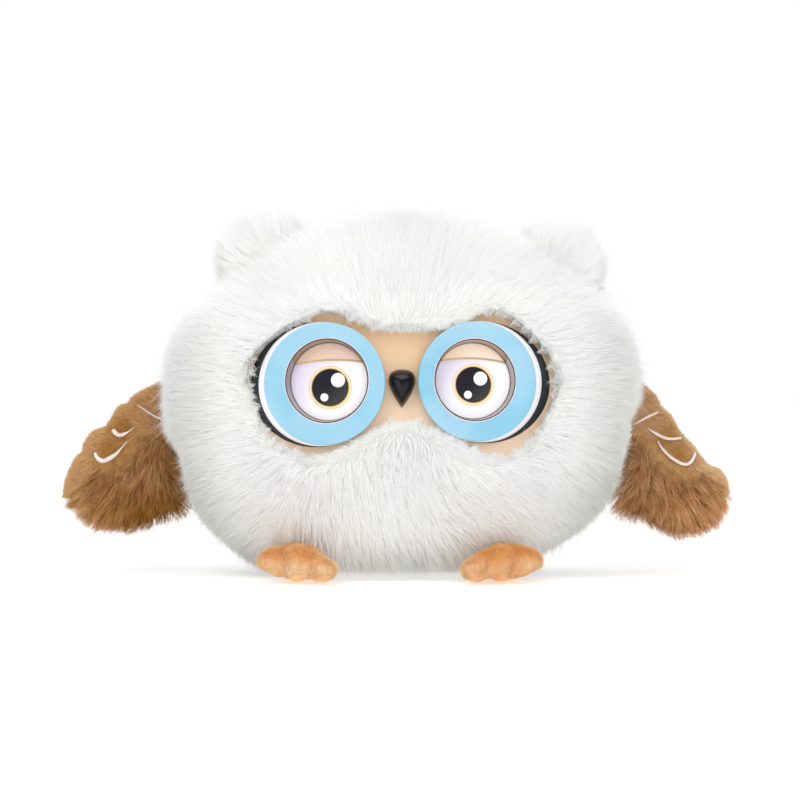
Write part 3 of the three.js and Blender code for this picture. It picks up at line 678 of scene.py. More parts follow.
def combBody(skin):
    mesh = skin.data
    points, normals = pointsOf(mesh), normalsOf(mesh)
    x, z = points[:, 0], points[:, 2]
    local = inFrame(faceFrame, points)
    edge = goggleDistance(local[:, 0], local[:, 2])
    near = 1.0 * (local[:, 1] < faceReach)
    front = smooth(-0.05, 0.55, -normals[:, 1])
    zero = np.zeros_like(x)
    toward = lambda across, up: np.stack([zero + across, zero, zero + up], axis=1)
    outFromFace = unit(np.stack([x, zero, z - faceMiddle.z], axis=1))
    down = np.stack([zero, zero + 0.25, zero - 1], axis=1)
    right = smooth(bodyPile["seamX"] - 1 * mm, bodyPile["seamX"] + 1 * mm, x)
    fall = smooth(62 * mm, 20 * mm, z)
    bellyWay = unit(toward(1.0, -0.15 - 0.75 * fall)) * right[:, None]  # the pile parts along the belly seam
    bellyWay = bellyWay + unit(toward(0.35, -0.9)) * (1 - right[:, None])
    bellyShare = smooth(60 * mm, 44 * mm, z) * smooth(64 * mm, 34 * mm, np.abs(x - 6 * mm))
    facing = outFromFace * (1 - bellyShare[:, None]) + bellyWay * bellyShare[:, None]
    way = facing * front[:, None] + down * (1 - front[:, None])
    way = unit(alongSkin(way, normals)) * math.cos(bodyPile["lift"])
    step = 0.2 * mm  # the rim's strands end on the line where the mask comes into sight
    view = viewDistance(local[:, 0], local[:, 2])
    slopeX, slopeZ = (slope / (2 * step) for slope in slopesOf(viewDistance, local[:, 0], local[:, 2], step))
    outerCorner = smooth(38 * mm, 50 * mm, np.abs(local[:, 0])) * smooth(-12 * mm, -4 * mm, local[:, 2])
    spill = bodyPile["rimSpill"] - 1.4 * mm * outerCorner
    lean = np.clip((view + spill) / bodyPile["rimLength"], 0.02, 0.82)
    lean = lean / np.sqrt(1 - lean ** 2)
    rimWay = unit(np.stack([-slopeX * lean, zero - 1, -slopeZ * lean], axis=1))
    rim = smooth(12 * mm, 2 * mm, edge) * near
    way = settle(mesh, way, normals, 8)
    way *= (1 + (math.cos(bodyPile["rimLift"]) / math.cos(bodyPile["lift"]) - 1) * rim)[:, None]
    seat = smooth(10 * mm, 5 * mm, z) * smooth(0.3, 0.8, -normals[:, 2])
    pile = bodyPile["length"] * (1 - rim) + bodyPile["rimLength"] * rim
    pile = pile * (1 - seat) + bodyPile["seatLength"] * seat
    belowTop = np.clip((np.where(x > 0, *bodyPile["byWingTop"]) - z) / bodyPile["byWingFade"], 0, 1)
    byWing = smooth(83 * mm, 91 * mm, np.abs(x)) * smooth(20 * mm, 30 * mm, z) * belowTop
    pile = pile * (1 - byWing) + bodyPile["byWing"] * byWing
    lay = np.clip(np.linalg.norm(way, axis=1), 0, 0.95)
    store(mesh, "comb", unit(way))
    store(mesh, "pile", pile)
    store(mesh, "lift", np.arccos(lay))
    # Painted shade: the pile is painted darker towards the sides (more so lower down), where it faces down, and near
    # the bottom
    edges = smooth(62 * mm, 92 * mm, np.abs(x)) * (0.25 + 0.2 * smooth(85 * mm, 40 * mm, z))
    edges = edges * smooth(118 * mm, 100 * mm, z)
    under = smooth(0.15, 0.75, -normals[:, 2]) * smooth(40 * mm, 72 * mm, np.abs(x))
    low = 0.4 * smooth(24 * mm, 10 * mm, z) * (1 - 0.6 * smooth(9 * mm, 3 * mm, z))
    store(mesh, "dusk", np.clip(low + edges + 0.3 * under, 0, 1))
    openness = np.where(near < 0.5, 1.0, np.maximum(edge + 0.2 * mm, view - 2.5 * mm))
    rimRise = np.clip(np.sum(rimWay * normals, axis=1), 0.1, 1)
    rimField = {"comb": unit(alongSkin(rimWay, normals)), "lift": np.arcsin(rimRise), "pile": bodyPile["rimLength"]}
    rimGrowth = smooth(8 * mm, 4 * mm, edge) * near * (edge > -8 * mm)
    loose = np.max([np.prod([smooth(start * mm, end * mm, local[:, axis]) for axis, start, end in spot], axis=0)
                    for spot in looseSpots], axis=0)
    return points, normals, openness, rimField, (rimGrowth * loose, rimGrowth * (1 - loose)), view - 0.4 * mm


bodyPoints, bodyNormals, bodyOpen, rimField, rimGrowths, rimOpen = combBody(bodySkin)


def coatRim():  # fuller pile round the mask, leaning over its edge
    for name, values in rimField.items():
        store(bodySkin.data, name, values)
    rims = {"furRimLoose": (rimGrowths[0], 0.1), "furRimNeat": (rimGrowths[1], 0.02)}
    for number, (name, (growth, disorder)) in enumerate(rims.items()):
        growPile(name, bodySkin, growth, whitePile, "body", "white_pile", openness=rimOpen, stock="rim",
                 Strands_Per_Square_Metre=bodyPile["rimDensity"], Clump_Size=0.002, Clump_Pull=0.1 + 2 * disorder,
                 Tousle=disorder, Jitter=disorder, Length_Variation=2 * disorder, Soft_Shading=0.35, Seed=150 + number)


coatStrands = {  # the same on body and ears
    "stock": "fine", "Clump_Size": 0.0026, "Clump_Pull": 0.4, "Tousle": 0.17, "Jitter": 0.16,
    "Length_Variation": 0.35, "Soft_Shading": 0.2,
}
onFront = bodyNormals[:, 1] < 0.05


def coatBody():
    x, z = bodyPoints[:, 0], bodyPoints[:, 2]
    high, low, backHigh, left = z > 100 * mm, z < 48 * mm, z > 84 * mm, x > 0
    regions = {
        "furCrownLeft": onFront & high & left,
        "furCrownRight": onFront & high & ~left,
        "furCheekLeft": onFront & ~high & ~low & left,
        "furCheekRight": onFront & ~high & ~low & ~left,
        "furBellyLeft": onFront & low & left,
        "furBellyRight": onFront & low & ~left,
        "furBackHigh": ~onFront & backHigh,
        "furBackLowLeft": ~onFront & ~backHigh & left,
        "furBackLowRight": ~onFront & ~backHigh & ~left,
    }
    for number, (name, region) in enumerate(regions.items()):
        density = bodyPile["backDensity" if name.startswith("furBack") else "frontDensity"]
        growPile(name, bodySkin, region * (bodyOpen > -5 * mm), whitePile, "body", "white_pile", openness=bodyOpen,
                 Strands_Per_Square_Metre=density, Seed=100 + number, **coatStrands)


guardHair = {"changes": {"pile": 1.28, "lift": 1.3}, "density": 0.17e6}


def coatGuard():  # a few longer hairs that stand out of the coat
    mesh = bodySkin.data
    for name, change in guardHair["changes"].items():
        rows = np.zeros(len(mesh.vertices))
        mesh.attributes[name].data.foreach_get("value", rows)
        store(mesh, name, rows * change)
    for number, (name, region) in enumerate({"guardFront": onFront, "guardBack": ~onFront}.items()):
        spread = region * (bodyOpen > 7 * mm) * (1 - 0.6 * smooth(0.6, 0.95, -bodyNormals[:, 1]))
        growPile(name, bodySkin, spread, whitePile, "body", "white_pile", openness=bodyOpen, stock="guard",
                 Strands_Per_Square_Metre=guardHair["density"], Clump_Size=0.005, Clump_Pull=0.45, Tousle=0.4,
                 Jitter=0.2, Length_Variation=0.5, Soft_Shading=0.3, Seed=170 + number)


coatBody()
coatGuard()
coatRim()
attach(bodySkin, "body")
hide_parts("body_cover")
print("body coated")


# Ears

earShape = {
    "halfWidth": 20 * mm, "halfDepth": 21 * mm, "above": 19 * mm, "below": 19 * mm, "squareness": 2.1,
    "inset": 5 * mm, "around": 40, "rings": 28, "tilt": math.radians(14), "back": -4 * mm,
    "left": {"spread": 64.5 * mm, "size": 1.04, "tall": 1.22, "height": 127.5 * mm},
    "right": {"spread": 56.5 * mm, "size": 1.08, "tall": 1.24, "height": 130.5 * mm},
    "pile": 7.5 * mm, "lift": math.radians(46), "density": 4.4e6,
}


def makeEar(name, side):
    points, faces = roundedForm(earShape)
    own = earShape[name.lower()]
    place = Matrix.Translation((side * own["spread"], bodyMiddle.y + earShape["back"], own["height"]))
    place = place @ Matrix.Rotation(side * earShape["tilt"], 4, "Y") @ Matrix.Diagonal((own["size"], 1, own["tall"], 1))
    skin = newObject(f"earSkin{name}", newMesh(f"earSkin{name}", [place @ Vector(p) for p in points], faces), whitePile)
    rows, normals = pointsOf(skin.data), normalsOf(skin.data)
    middle = np.array(place.translation)
    way = unit(rows - middle) + np.array([0.5 * side, 0, 0.5])
    store(skin.data, "comb", unit(alongSkin(way, normals)))
    store(skin.data, "pile", earShape["pile"])
    store(skin.data, "lift", earShape["lift"])
    # Painted shade on the ear's outer side, where it faces a little down
    store(skin.data, "dusk", 0.3 * smooth(0.7, 1.0, normals @ np.array([0.95 * side, 0, -0.3])))
    growPile(f"furEar{name}", skin, 1.0, whitePile, "body", "white_pile",
             Strands_Per_Square_Metre=earShape["density"], Seed=200 + side, **coatStrands)
    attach(skin, "body")
    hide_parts(f"ear_{name.lower()}")


for sideName, side in sides.items():
    makeEar(sideName.capitalize(), side)
print("ears coated")


# Wings: a quilted pillow over a scalloped outline. Places are shares of the span out and of the drop up.

wingShape = {
    "span": 45.5 * mm, "drop": 65 * mm, "thickness": 19 * mm, "footBelow": 59 * mm, "rollOut": 97.3 * mm,
    "setBack": 2 * mm, "middle": (0.48, 0.42), "webHalf": 0.6 * mm, "webSlope": 0.2, "around": 132, "rings": 26,
    "napInset": 0.8 * mm, "pileInset": 3 * mm, "crease": 1.4 * mm, "creaseHalfWidth": 2.2 * mm,
    "lowFullness": 5 * mm, "rootWidth": 2 * mm, "rootInset": 0.5 * mm,
    "outline": {
        "left": [(0.04, 0.985), (0.15, 0.95), (0.2, 0.9), (0.235, 0.86), (0.33, 0.79), (0.42, 0.69), (0.58, 0.575),
                 (0.69, 0.475), (0.82, 0.42), (0.88, 0.33), (0.875, 0.22), (0.82, 0.1), (0.68, 0.03), (0.48, -0.01),
                 (0.3, 0.015), (0.14, 0.07), (0.0, 0.14), (-0.1, 0.22), (-0.12, 0.3), (-0.075, 0.46), (-0.03, 0.62),
                 (0.0, 0.8)],
        "right": [(0.04, 0.985), (0.2, 0.965), (0.33, 0.915), (0.37, 0.88), (0.47, 0.845), (0.55, 0.76), (0.6, 0.72),
                  (0.71, 0.69), (0.79, 0.625), (0.815, 0.565), (0.885, 0.515), (0.97, 0.38), (0.985, 0.24),
                  (0.91, 0.165), (0.73, 0.06), (0.52, 0.04), (0.32, 0.035), (0.12, 0.09), (0.0, 0.15), (-0.09, 0.23),
                  (-0.11, 0.3), (-0.06, 0.46), (-0.02, 0.62), (0.0, 0.8)],
    },
    "seams": {
        "left": [[(0.009, 0.732), (0.11, 0.774), (0.225, 0.812)],
                 [(0.142, 0.705), (0.221, 0.671), (0.322, 0.642), (0.438, 0.646)],
                 [(0.231, 0.627), (0.263, 0.583), (0.322, 0.538), (0.387, 0.503), (0.47, 0.476), (0.533, 0.494),
                  (0.575, 0.557)]],
        "right": [[(0.296, 0.855), (0.182, 0.8), (0.069, 0.759)],
                  [(0.529, 0.7), (0.481, 0.666), (0.413, 0.677), (0.338, 0.714)],
                  [(0.693, 0.551), (0.667, 0.516), (0.614, 0.5), (0.505, 0.542), (0.402, 0.625)]],
    },
    "napLine": {  # the short nap's lower limit from the root out
        "left": [(-0.2, 0.72), (0.0, 0.72), (0.2, 0.66), (0.31, 0.575), (0.42, 0.49), (0.56, 0.46), (0.66, 0.44),
                 (0.78, 0.36), (1.0, 0.3)],
        "right": [(-0.2, 0.74), (0.0, 0.74), (0.3, 0.67), (0.45, 0.6), (0.5, 0.53), (0.6, 0.49), (0.69, 0.46),
                  (0.8, 0.36), (1.0, 0.24)],
    },
    "combFrom": {"left": (-0.25, 1.1), "right": (-0.05, 0.85)},  # long pile fans out from here
}


class wingForm:  # one wing's surface, in metres out from the roll and up from its lowest point
    def __init__(self, name):
        shape = wingShape
        size = np.array([shape["span"], shape["drop"]])
        self.name = name
        self.outline = throughPoints(shape["outline"][name], shape["around"], True) * size
        self.middle = np.array(shape["middle"]) * size
        self.seams = [throughPoints(seam, 14, False) * size for seam in shape["seams"][name]]

    def shareOf(self, spots):  # 0 in the middle, 1 on the outline
        angles = lambda rows: np.arctan2(rows[:, 1] - self.middle[1], rows[:, 0] - self.middle[0])
        radii = lambda rows: np.hypot(rows[:, 0] - self.middle[0], rows[:, 1] - self.middle[1])
        order = np.argsort(angles(self.outline))
        edge = np.interp(angles(spots), angles(self.outline)[order], radii(self.outline)[order], period=2 * np.pi)
        return np.clip(radii(spots) / edge, 0, 1)

    def napShare(self, spots):  # 1 in the short nap along the top and outer edge
        out, up = spots[:, 0] / wingShape["span"], spots[:, 1] / wingShape["drop"]
        line = np.interp(out, *np.array(wingShape["napLine"][self.name]).T)
        band = smooth(0.8, 0.88, self.shareOf(spots)) * smooth(0.5, 0.6, out) * smooth(0.24, 0.32, up)
        return np.maximum(smooth(-0.05, 0.03, up - line), band)

    def heights(self, spots, share):
        shape = wingShape
        nap = self.napShare(spots)
        inset = shape["pileInset"] * (1 - nap) + shape["napInset"] * nap
        crown = (shape["thickness"] / 2 - inset) * np.sqrt(np.clip(1 - share ** 2.4, 0, 1))
        fromRoot = spots[:, 0] + shape["lowFullness"] * smooth(0.55, 0.35, spots[:, 1] / shape["drop"])
        web = shape["webHalf"] + shape["webSlope"] * np.maximum(fromRoot, 0)
        height = np.minimum(crown, web)
        for seam in self.seams:
            nearness = np.exp(-(distanceToPath(spots, seam) / shape["creaseHalfWidth"]) ** 2)
            height -= shape["crease"] * nearness * (share < 0.985)
        return np.maximum(height, 0.25 * mm * (share < 0.999))

    def place(self, side, spots, heights):
        return np.stack([side * (wingShape["rollOut"] + spots[:, 0]), bodyMiddle.y + wingShape["setBack"] + heights,
                         bodyMiddle.z - wingShape["footBelow"] + spots[:, 1]], axis=1)


stitch = {  # satin stitches: their widths from an arc's first end to its last, as shares of the widest
    "thread": 0.34 * mm, "pitch": 0.22 * mm, "proud": 1.3 * mm,
    "widths": {
        "left": [(1.2 * mm, (0.45, 0.8, 1, 0.8)), (1.5 * mm, (0.3, 0.9, 1, 0.9, 0.6)),
                 (1.5 * mm, (0.3, 0.8, 1, 1, 1, 0.7))],
        "right": [(0.8 * mm, (0.5, 0.9, 1, 0.8)), (2.0 * mm, (0.9, 1, 0.8, 0.35, 0.15)),
                  (2.2 * mm, (0.6, 0.9, 1, 0.9, 0.6, 0.3, 0.15))],
    },
}


def makeStitchTree():  # a thread across the arc at each of its points
    tree, given, result = newGroup("sewArc", "GeometryNodeTree", [
        ("Geometry", "Geometry", None), ("Thread", "Object", None), ("Thread Width", "Float", stitch["thread"]),
        ("Unevenness", "Float", 0.08), ("Seed", "Int", 1), ("Material", "Material", None),
    ], [("Geometry", "Geometry")])
    tree.is_modifier = True
    read = lambda name, kind: readNamed(tree, name, kind)
    turn = addNode(tree, "FunctionNodeAlignRotationToVector", {"Vector": read("across", "FLOAT_VECTOR")}, axis="X")
    turn = addNode(tree, "FunctionNodeAlignRotationToVector", {
        "Rotation": turn.outputs[0], "Vector": read("facing", "FLOAT_VECTOR")}, axis="Z", pivot_axis="X")
    least = maths(tree, "SUBTRACT", 1.0, given["Unevenness"])
    most = maths(tree, "ADD", 1.0, given["Unevenness"])
    uneven = addNode(tree, "FunctionNodeRandomValue", {
        2: least, 3: most, "Seed": given["Seed"]}, data_type="FLOAT").outputs[1]
    width = given["Thread Width"]
    size = addNode(tree, "ShaderNodeCombineXYZ", {
        0: maths(tree, "MULTIPLY", read("reach", "FLOAT"), uneven), 1: width, 2: width})
    dots = addNode(tree, "GeometryNodeMeshToPoints", {"Mesh": given["Geometry"]})
    thread = addNode(tree, "GeometryNodeObjectInfo", {"Object": given["Thread"], "As Instance": True})
    laid = addNode(tree, "GeometryNodeInstanceOnPoints", {
        "Points": dots.outputs[0], "Instance": thread.outputs["Geometry"],
        "Rotation": turn.outputs[0], "Scale": size.outputs[0]})
    real = addNode(tree, "GeometryNodeRealizeInstances", {"Geometry": laid.outputs[0]})
    done = addNode(tree, "GeometryNodeSetMaterial", {
        "Geometry": real.outputs[0], "Material": given["Material"]})
    tree.links.new(done.outputs[0], result["Geometry"])
    return tree


def makeThread():  # a bowed thread of length 1 along X
    points, faces, around, rings = [(-0.5, 0, -0.6)], [], 6, 7
    turns = [2 * math.pi * k / around for k in range(around)]
    for ring in range(1, rings):
        along = -math.cos(math.pi * ring / rings) / 2
        radius = 0.5 * math.sin(math.pi * ring / rings) ** 0.5
        bow = 0.9 * (1 - 4 * along * along) - 0.6
        points += [(along, radius * math.cos(turn), bow + radius * math.sin(turn)) for turn in turns]
    points.append((0.5, 0, -0.6))
    for k in range(around):
        n = (k + 1) % around
        faces.append((0, 1 + n, 1 + k))
        for ring in range(rings - 2):
            a = 1 + ring * around
            faces.append((a + k, a + n, a + n + around, a + k + around))
        faces.append((1 + (rings - 2) * around + k, 1 + (rings - 2) * around + n, len(points) - 1))
    return bpy.data.objects.new("thread", outward(newMesh("thread", points, faces)))


stitchTree = makeStitchTree()
threadPiece = makeThread()


def sewCrescents(name, side, form):
    rows, across, facings, reaches = [], [], [], []
    for seam, (widest, shares) in zip(form.seams, stitch["widths"][name.lower()]):
        length = np.sum(np.linalg.norm(np.diff(seam, axis=0), axis=1))
        count = int(length / stitch["pitch"])
        fine = throughPoints(seam, count, False)
        along = unit(np.gradient(fine, axis=0))
        reach = widest * np.interp(np.linspace(0, 1, count), np.linspace(0, 1, len(shares)), shares)
        deepest = form.heights(fine, form.shareOf(fine)) + stitch["proud"]
        for facing in (-1, 1):
            rows.append(form.place(side, fine, facing * deepest))
            across.append(np.stack([-side * along[:, 1], np.zeros(count), along[:, 0]], axis=1))
            facings.append(np.tile([0, facing, 0], (count, 1)))
            reaches.append(reach)
    piece = newObject(f"crescents{name}", newMesh(f"crescents{name}", np.concatenate(rows), []), creamThread)
    store(piece.data, "across", np.concatenate(across))
    store(piece.data, "facing", np.concatenate(facings))
    store(piece.data, "reach", np.concatenate(reaches))
    sewn = piece.modifiers.new("sewArc", "NODES")
    sewn.node_group = stitchTree
    socket = inputSockets(stitchTree)
    sewn[socket["Thread"]], sewn[socket["Material"]], sewn[socket["Seed"]] = threadPiece, creamThread, 500 + side
    mesh = evaluatedMesh(piece)
    piece.modifiers.clear()
    piece.data = mesh
    mesh.shade_smooth()
    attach(piece, f"{name.lower()}_wing")


wingPile = {
    "length": 9.5 * mm, "lift": math.radians(24), "byNap": 4 * mm, "byEdge": 4 * mm, "shortest": 1.6 * mm,
    "napLength": 2.4 * mm, "napLift": math.radians(32), "density": 3.8e6, "napDensity": 6e6,
    "tousle": {"left": 0.6, "right": 0.4}, "dusk": {"left": (0.35, 0), "right": (0.9, 0.4)},
    "hollowReach": 4.2 * mm, "edgeReach": 22 * mm,
}


def makeWingSkin(name, side, form):
    around, rings = wingShape["around"], wingShape["rings"]
    rimInset = np.where(form.napShare(form.outline) > 0.5, wingShape["napInset"], wingShape["pileInset"])
    toMiddle = form.middle - form.outline
    rim = form.outline + toMiddle / np.linalg.norm(toMiddle, axis=1, keepdims=True) * rimInset[:, None]
    atRoot = form.outline[:, 0] < wingShape["rootWidth"]
    rim[:, 0] = np.where(atRoot, form.outline[:, 0] + wingShape["rootInset"], rim[:, 0])
    points, faces = [form.place(side, rim, np.zeros(around))], []
    for facing in (-1, 1):
        previous = 0
        for ring in range(1, rings):
            share = math.cos(math.pi / 2 * ring / rings)
            spots = form.middle + (rim - form.middle) * share
            first = sum(len(p) for p in points)
            points.append(form.place(side, spots, facing * form.heights(spots, np.full(around, share))))
            for s in range(around):
                t = (s + 1) % around
                faces.append((previous + s, previous + t, first + t, first + s)[::facing * side])
            previous = first
        apex = sum(len(p) for p in points)
        points.append(form.place(side, form.middle[None], facing * form.heights(form.middle[None], np.zeros(1))))
        faces += [(previous + s, previous + (s + 1) % around, apex)[::facing * side] for s in range(around)]
    mesh = outward(newMesh(f"wingSkin{name}", np.concatenate(points), faces))
    return newObject(f"wingSkin{name}", mesh, brownNap)


def makeWing(name, side):
    form = wingForm(name.lower())
    skin = makeWingSkin(name, side, form)
    mesh = skin.data
    rows, normals = pointsOf(mesh), normalsOf(mesh)
    up = rows[:, 2] - bodyMiddle.z + wingShape["footBelow"]
    spots = np.stack([side * rows[:, 0] - wingShape["rollOut"], up], axis=1)
    nap = form.napShare(spots)
    out = np.clip(spots[:, 0] / wingShape["span"], 0, 1)
    size = np.array([wingShape["span"], wingShape["drop"]])
    fan = unit(spots - np.array(wingShape["combFrom"][name.lower()]) * size)
    root = smooth(0.1, -0.06, spots[:, 0] / wingShape["span"])  # at the root the pile lies over the body
    way = np.stack([side * (fan[:, 0] * (1 - root) - 0.8 * root), np.zeros(len(rows)), fan[:, 1]], axis=1)
    away = unit(spots - form.middle)
    edge = smooth(0.55, 1.0, np.linalg.norm(spots - form.middle, axis=1) / wingPile["edgeReach"])
    way += 0.5 * edge[:, None] * np.stack([side * away[:, 0], np.zeros(len(rows)), away[:, 1]], axis=1)
    inSeam = np.min([distanceToPath(spots, seam) for seam in form.seams], axis=0)
    store(mesh, "comb", unit(alongSkin(way, normals)))
    store(mesh, "lift", wingPile["lift"])
    beside = np.clip(0.9 * (inSeam - 0.6 * mm), wingPile["shortest"], 10 * mm)  # short beside the stitches
    length = wingPile["length"] - wingPile["byNap"] * smooth(0.0, 0.3, nap) - wingPile["byEdge"] * edge * (1 - root)
    store(mesh, "pile", np.minimum(length, beside))
    # Painted shade: the wing is painted darker low down near its root, in hollows above the stitched arcs, and the
    # right wing a little darker all over
    low = smooth(0.5, 0.1, spots[:, 1] / wingShape["drop"]) * smooth(0.75, 0.1, out)
    pockets = [0.4 * seam[7] + 0.3 * seam[0] + 0.3 * seam[-1] for seam in form.seams[1:]]
    hollows = [np.exp(-(np.linalg.norm(spots - pocket, axis=1) / wingPile["hollowReach"]) ** 2) for pocket in pockets]
    lowPaintedShade, dusk = wingPile["dusk"][name.lower()]
    store(mesh, "dusk", np.clip(lowPaintedShade * low + np.max(hollows, axis=0) + dusk, 0, 1))
    growth = (1 - smooth(0.3, 0.7, nap)) * smooth(0.4 * mm, 1.4 * mm, inSeam)
    growPile(f"furWing{name}", skin, growth, brownPile, f"{name.lower()}_wing", "brown_pile",
             Strands_Per_Square_Metre=wingPile["density"], Clump_Size=0.0034, Clump_Pull=0.6,
             Tousle=wingPile["tousle"][name.lower()], Jitter=0.15, Length_Variation=0.3, Seed=300 + side)
    store(mesh, "lift", wingPile["napLift"])
    store(mesh, "pile", wingPile["napLength"])
    growth = smooth(0.2, 0.6, nap) * smooth(0.5 * mm, 0.9 * mm, inSeam)
    growPile(f"napWing{name}", skin, growth, brownNap, f"{name.lower()}_wing", "brown_pile", stock="short",
             Strands_Per_Square_Metre=wingPile["napDensity"], Clump_Size=0.002, Clump_Pull=0.2, Tousle=0.2,
             Jitter=0.15, Length_Variation=0.3, Seed=320 + side)
    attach(skin, f"{name.lower()}_wing")
    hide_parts(f"wing_{name.lower()}")
    sewCrescents(name, side, form)


for sideName, side in sides.items():
    makeWing(sideName.capitalize(), side)
print("wings coated")


# Feet

def nodeCopy(name, node, voxel, steps, material):  # a solid's form in an even, softened mesh
    mesh = nodes[node].data.copy()
    mesh.name = name
    outward(mesh)
    piece = newObject(name, mesh, material)
    remesh = piece.modifiers.new("remesh", "REMESH")
    remesh.mode, remesh.voxel_size, remesh.use_smooth_shade = "VOXEL", voxel, True
    soften = piece.modifiers.new("soften", "SMOOTH")
    soften.factor, soften.iterations = 0.5, steps
    graph = bpy.context.evaluated_depsgraph_get()
    smoothed = bpy.data.meshes.new_from_object(piece.evaluated_get(graph))
    piece.modifiers.clear()
    piece.data = smoothed
    smoothed.name = name
    smoothed.materials.clear()
    smoothed.materials.append(material)
    return piece


footShape = {"voxel": 0.9 * mm, "rounding": 3, "outerRise": 3.6 * mm, "outerFall": 1.5 * mm, "innerFall": 4.6 * mm,
             "leftShift": 2.5 * mm}
footPile = {"inset": 0.9 * mm, "length": 2.2 * mm, "lift": math.radians(34), "density": 5e6}


def makeFoot(name, side):
    skin = nodeCopy(f"footSkin{name}", f"foot_{name.lower()}", footShape["voxel"], footShape["rounding"], peachPile)
    mesh = skin.data
    rows, normals = pointsOf(mesh), normalsOf(mesh)
    rows = rows - normals * footPile["inset"]
    rows[:, 2] = np.maximum(rows[:, 2], 0.5 * mm)
    outer = smooth(46 * mm, 56 * mm, side * rows[:, 0])  # the outer toe is the smallest
    rows[:, 2] += outer * footShape["outerRise"] * smooth(14 * mm, 0, rows[:, 2])
    inner = smooth(38 * mm, 30 * mm, side * rows[:, 0])
    fall = inner * footShape["innerFall"] + outer * footShape["outerFall"]
    rows[:, 2] -= fall * smooth(5 * mm, 15 * mm, rows[:, 2])
    rows[:, 0] -= (footShape["leftShift"] if side > 0 else 0) * smooth(-40 * mm, -60 * mm, rows[:, 1])
    setPoints(mesh, rows)
    way = np.tile([0, -1.0, -0.25], (len(rows), 1))
    store(mesh, "comb", unit(alongSkin(way, normals)))
    store(mesh, "lift", footPile["lift"])
    # Painted shade: each foot is painted darker and warmer higher up, just under the body's pile, and the left foot a
    # little darker all over
    store(mesh, "dusk", 0.7 * smooth(6 * mm, 13 * mm, rows[:, 2]) + (0.2 if side > 0 else 0))
    store(mesh, "pile", footPile["length"] * (1 - 0.6 * smooth(0.3, 0.9, -normals[:, 2])))
    growPile(f"napFoot{name}", skin, smooth(30 * mm, 20 * mm, rows[:, 1] + 55 * mm), peachPile, "body", "peach_pile",
             stock="short", Strands_Per_Square_Metre=footPile["density"], Clump_Size=0.0015, Clump_Pull=0.3,
             Tousle=0.2, Jitter=0.15, Length_Variation=0.3, Seed=400 + side)
    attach(skin, "body")
    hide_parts(f"foot_{name.lower()}")


for sideName, side in sides.items():
    makeFoot(sideName.capitalize(), side)
print("feet coated")


# Face: the mask and the hidden parts keep their nodes; the eyes and the beak are turned finer on the same sizes

eyeSpread, maskRadius = 30.6, 155  # the mask's front is bent on this radius
eyeShape = {  # millimetres in each eye's own frame: y = 0 on the ring's face, +y into the head
    "spread": eyeSpread, "proud": 3.55, "yaw": 0.85 * math.asin(eyeSpread / maskRadius), "facets": 144, "lean": 0.7,
    "window": {1: (-1.0, 0.5), -1: (-1.0, 1.1)},  # its middle, towards the beak and up, on the left and on the right
    "fit": {1: (-0.2, 1.2, 0.98), -1: (-0.65, 0.25, 1.006)},  # each eye's own shift across and up, and its size
    "ringRadius": 24.6, "podRadius": 24.9, "ringWall": 1.2, "windowRadius": 17.3, "barrelRadius": 19.1,
    "podFront": 1.45, "podBack": 3.9, "barrelEnd": 15, "well": (7.05, 8.8), "gasketFront": 4.15, "gasketEnd": 8.5,
    "bezelRadii": (16.55, 17.0, 15.7), "bezelDepths": (0.3, 5.3), "discDepth": 5.6, "discBack": 6.7, "discRise": 0.7,
    "discRadius": 15.4,
}
eyePrints = {  # places on each printed disc, in millimetres from its middle, as they look from the front
    # The right eye's lid colour is painted darker than the left eye's: painted shade
    "right": {"pupil": (0.44, -2.4), "pupilRadius": 7.5, "goldRadius": 8.75, "large": (3.66, 0.56, 2.87),
              "small": (-1.93, -6.3, 1.62), "lid": (8.71, 0.023, -0.0062), "lidColour": (228, 199, 182)},
    "left": {"pupil": (0.2, -1.63), "pupilRadius": 7.4, "goldRadius": 8.7, "large": (3.13, 0.94, 2.87),
             "small": (-2.1, -5.8, 1.65), "lid": (9.3, -0.018, -0.0073), "lidColour": (253, 226, 204)},
}


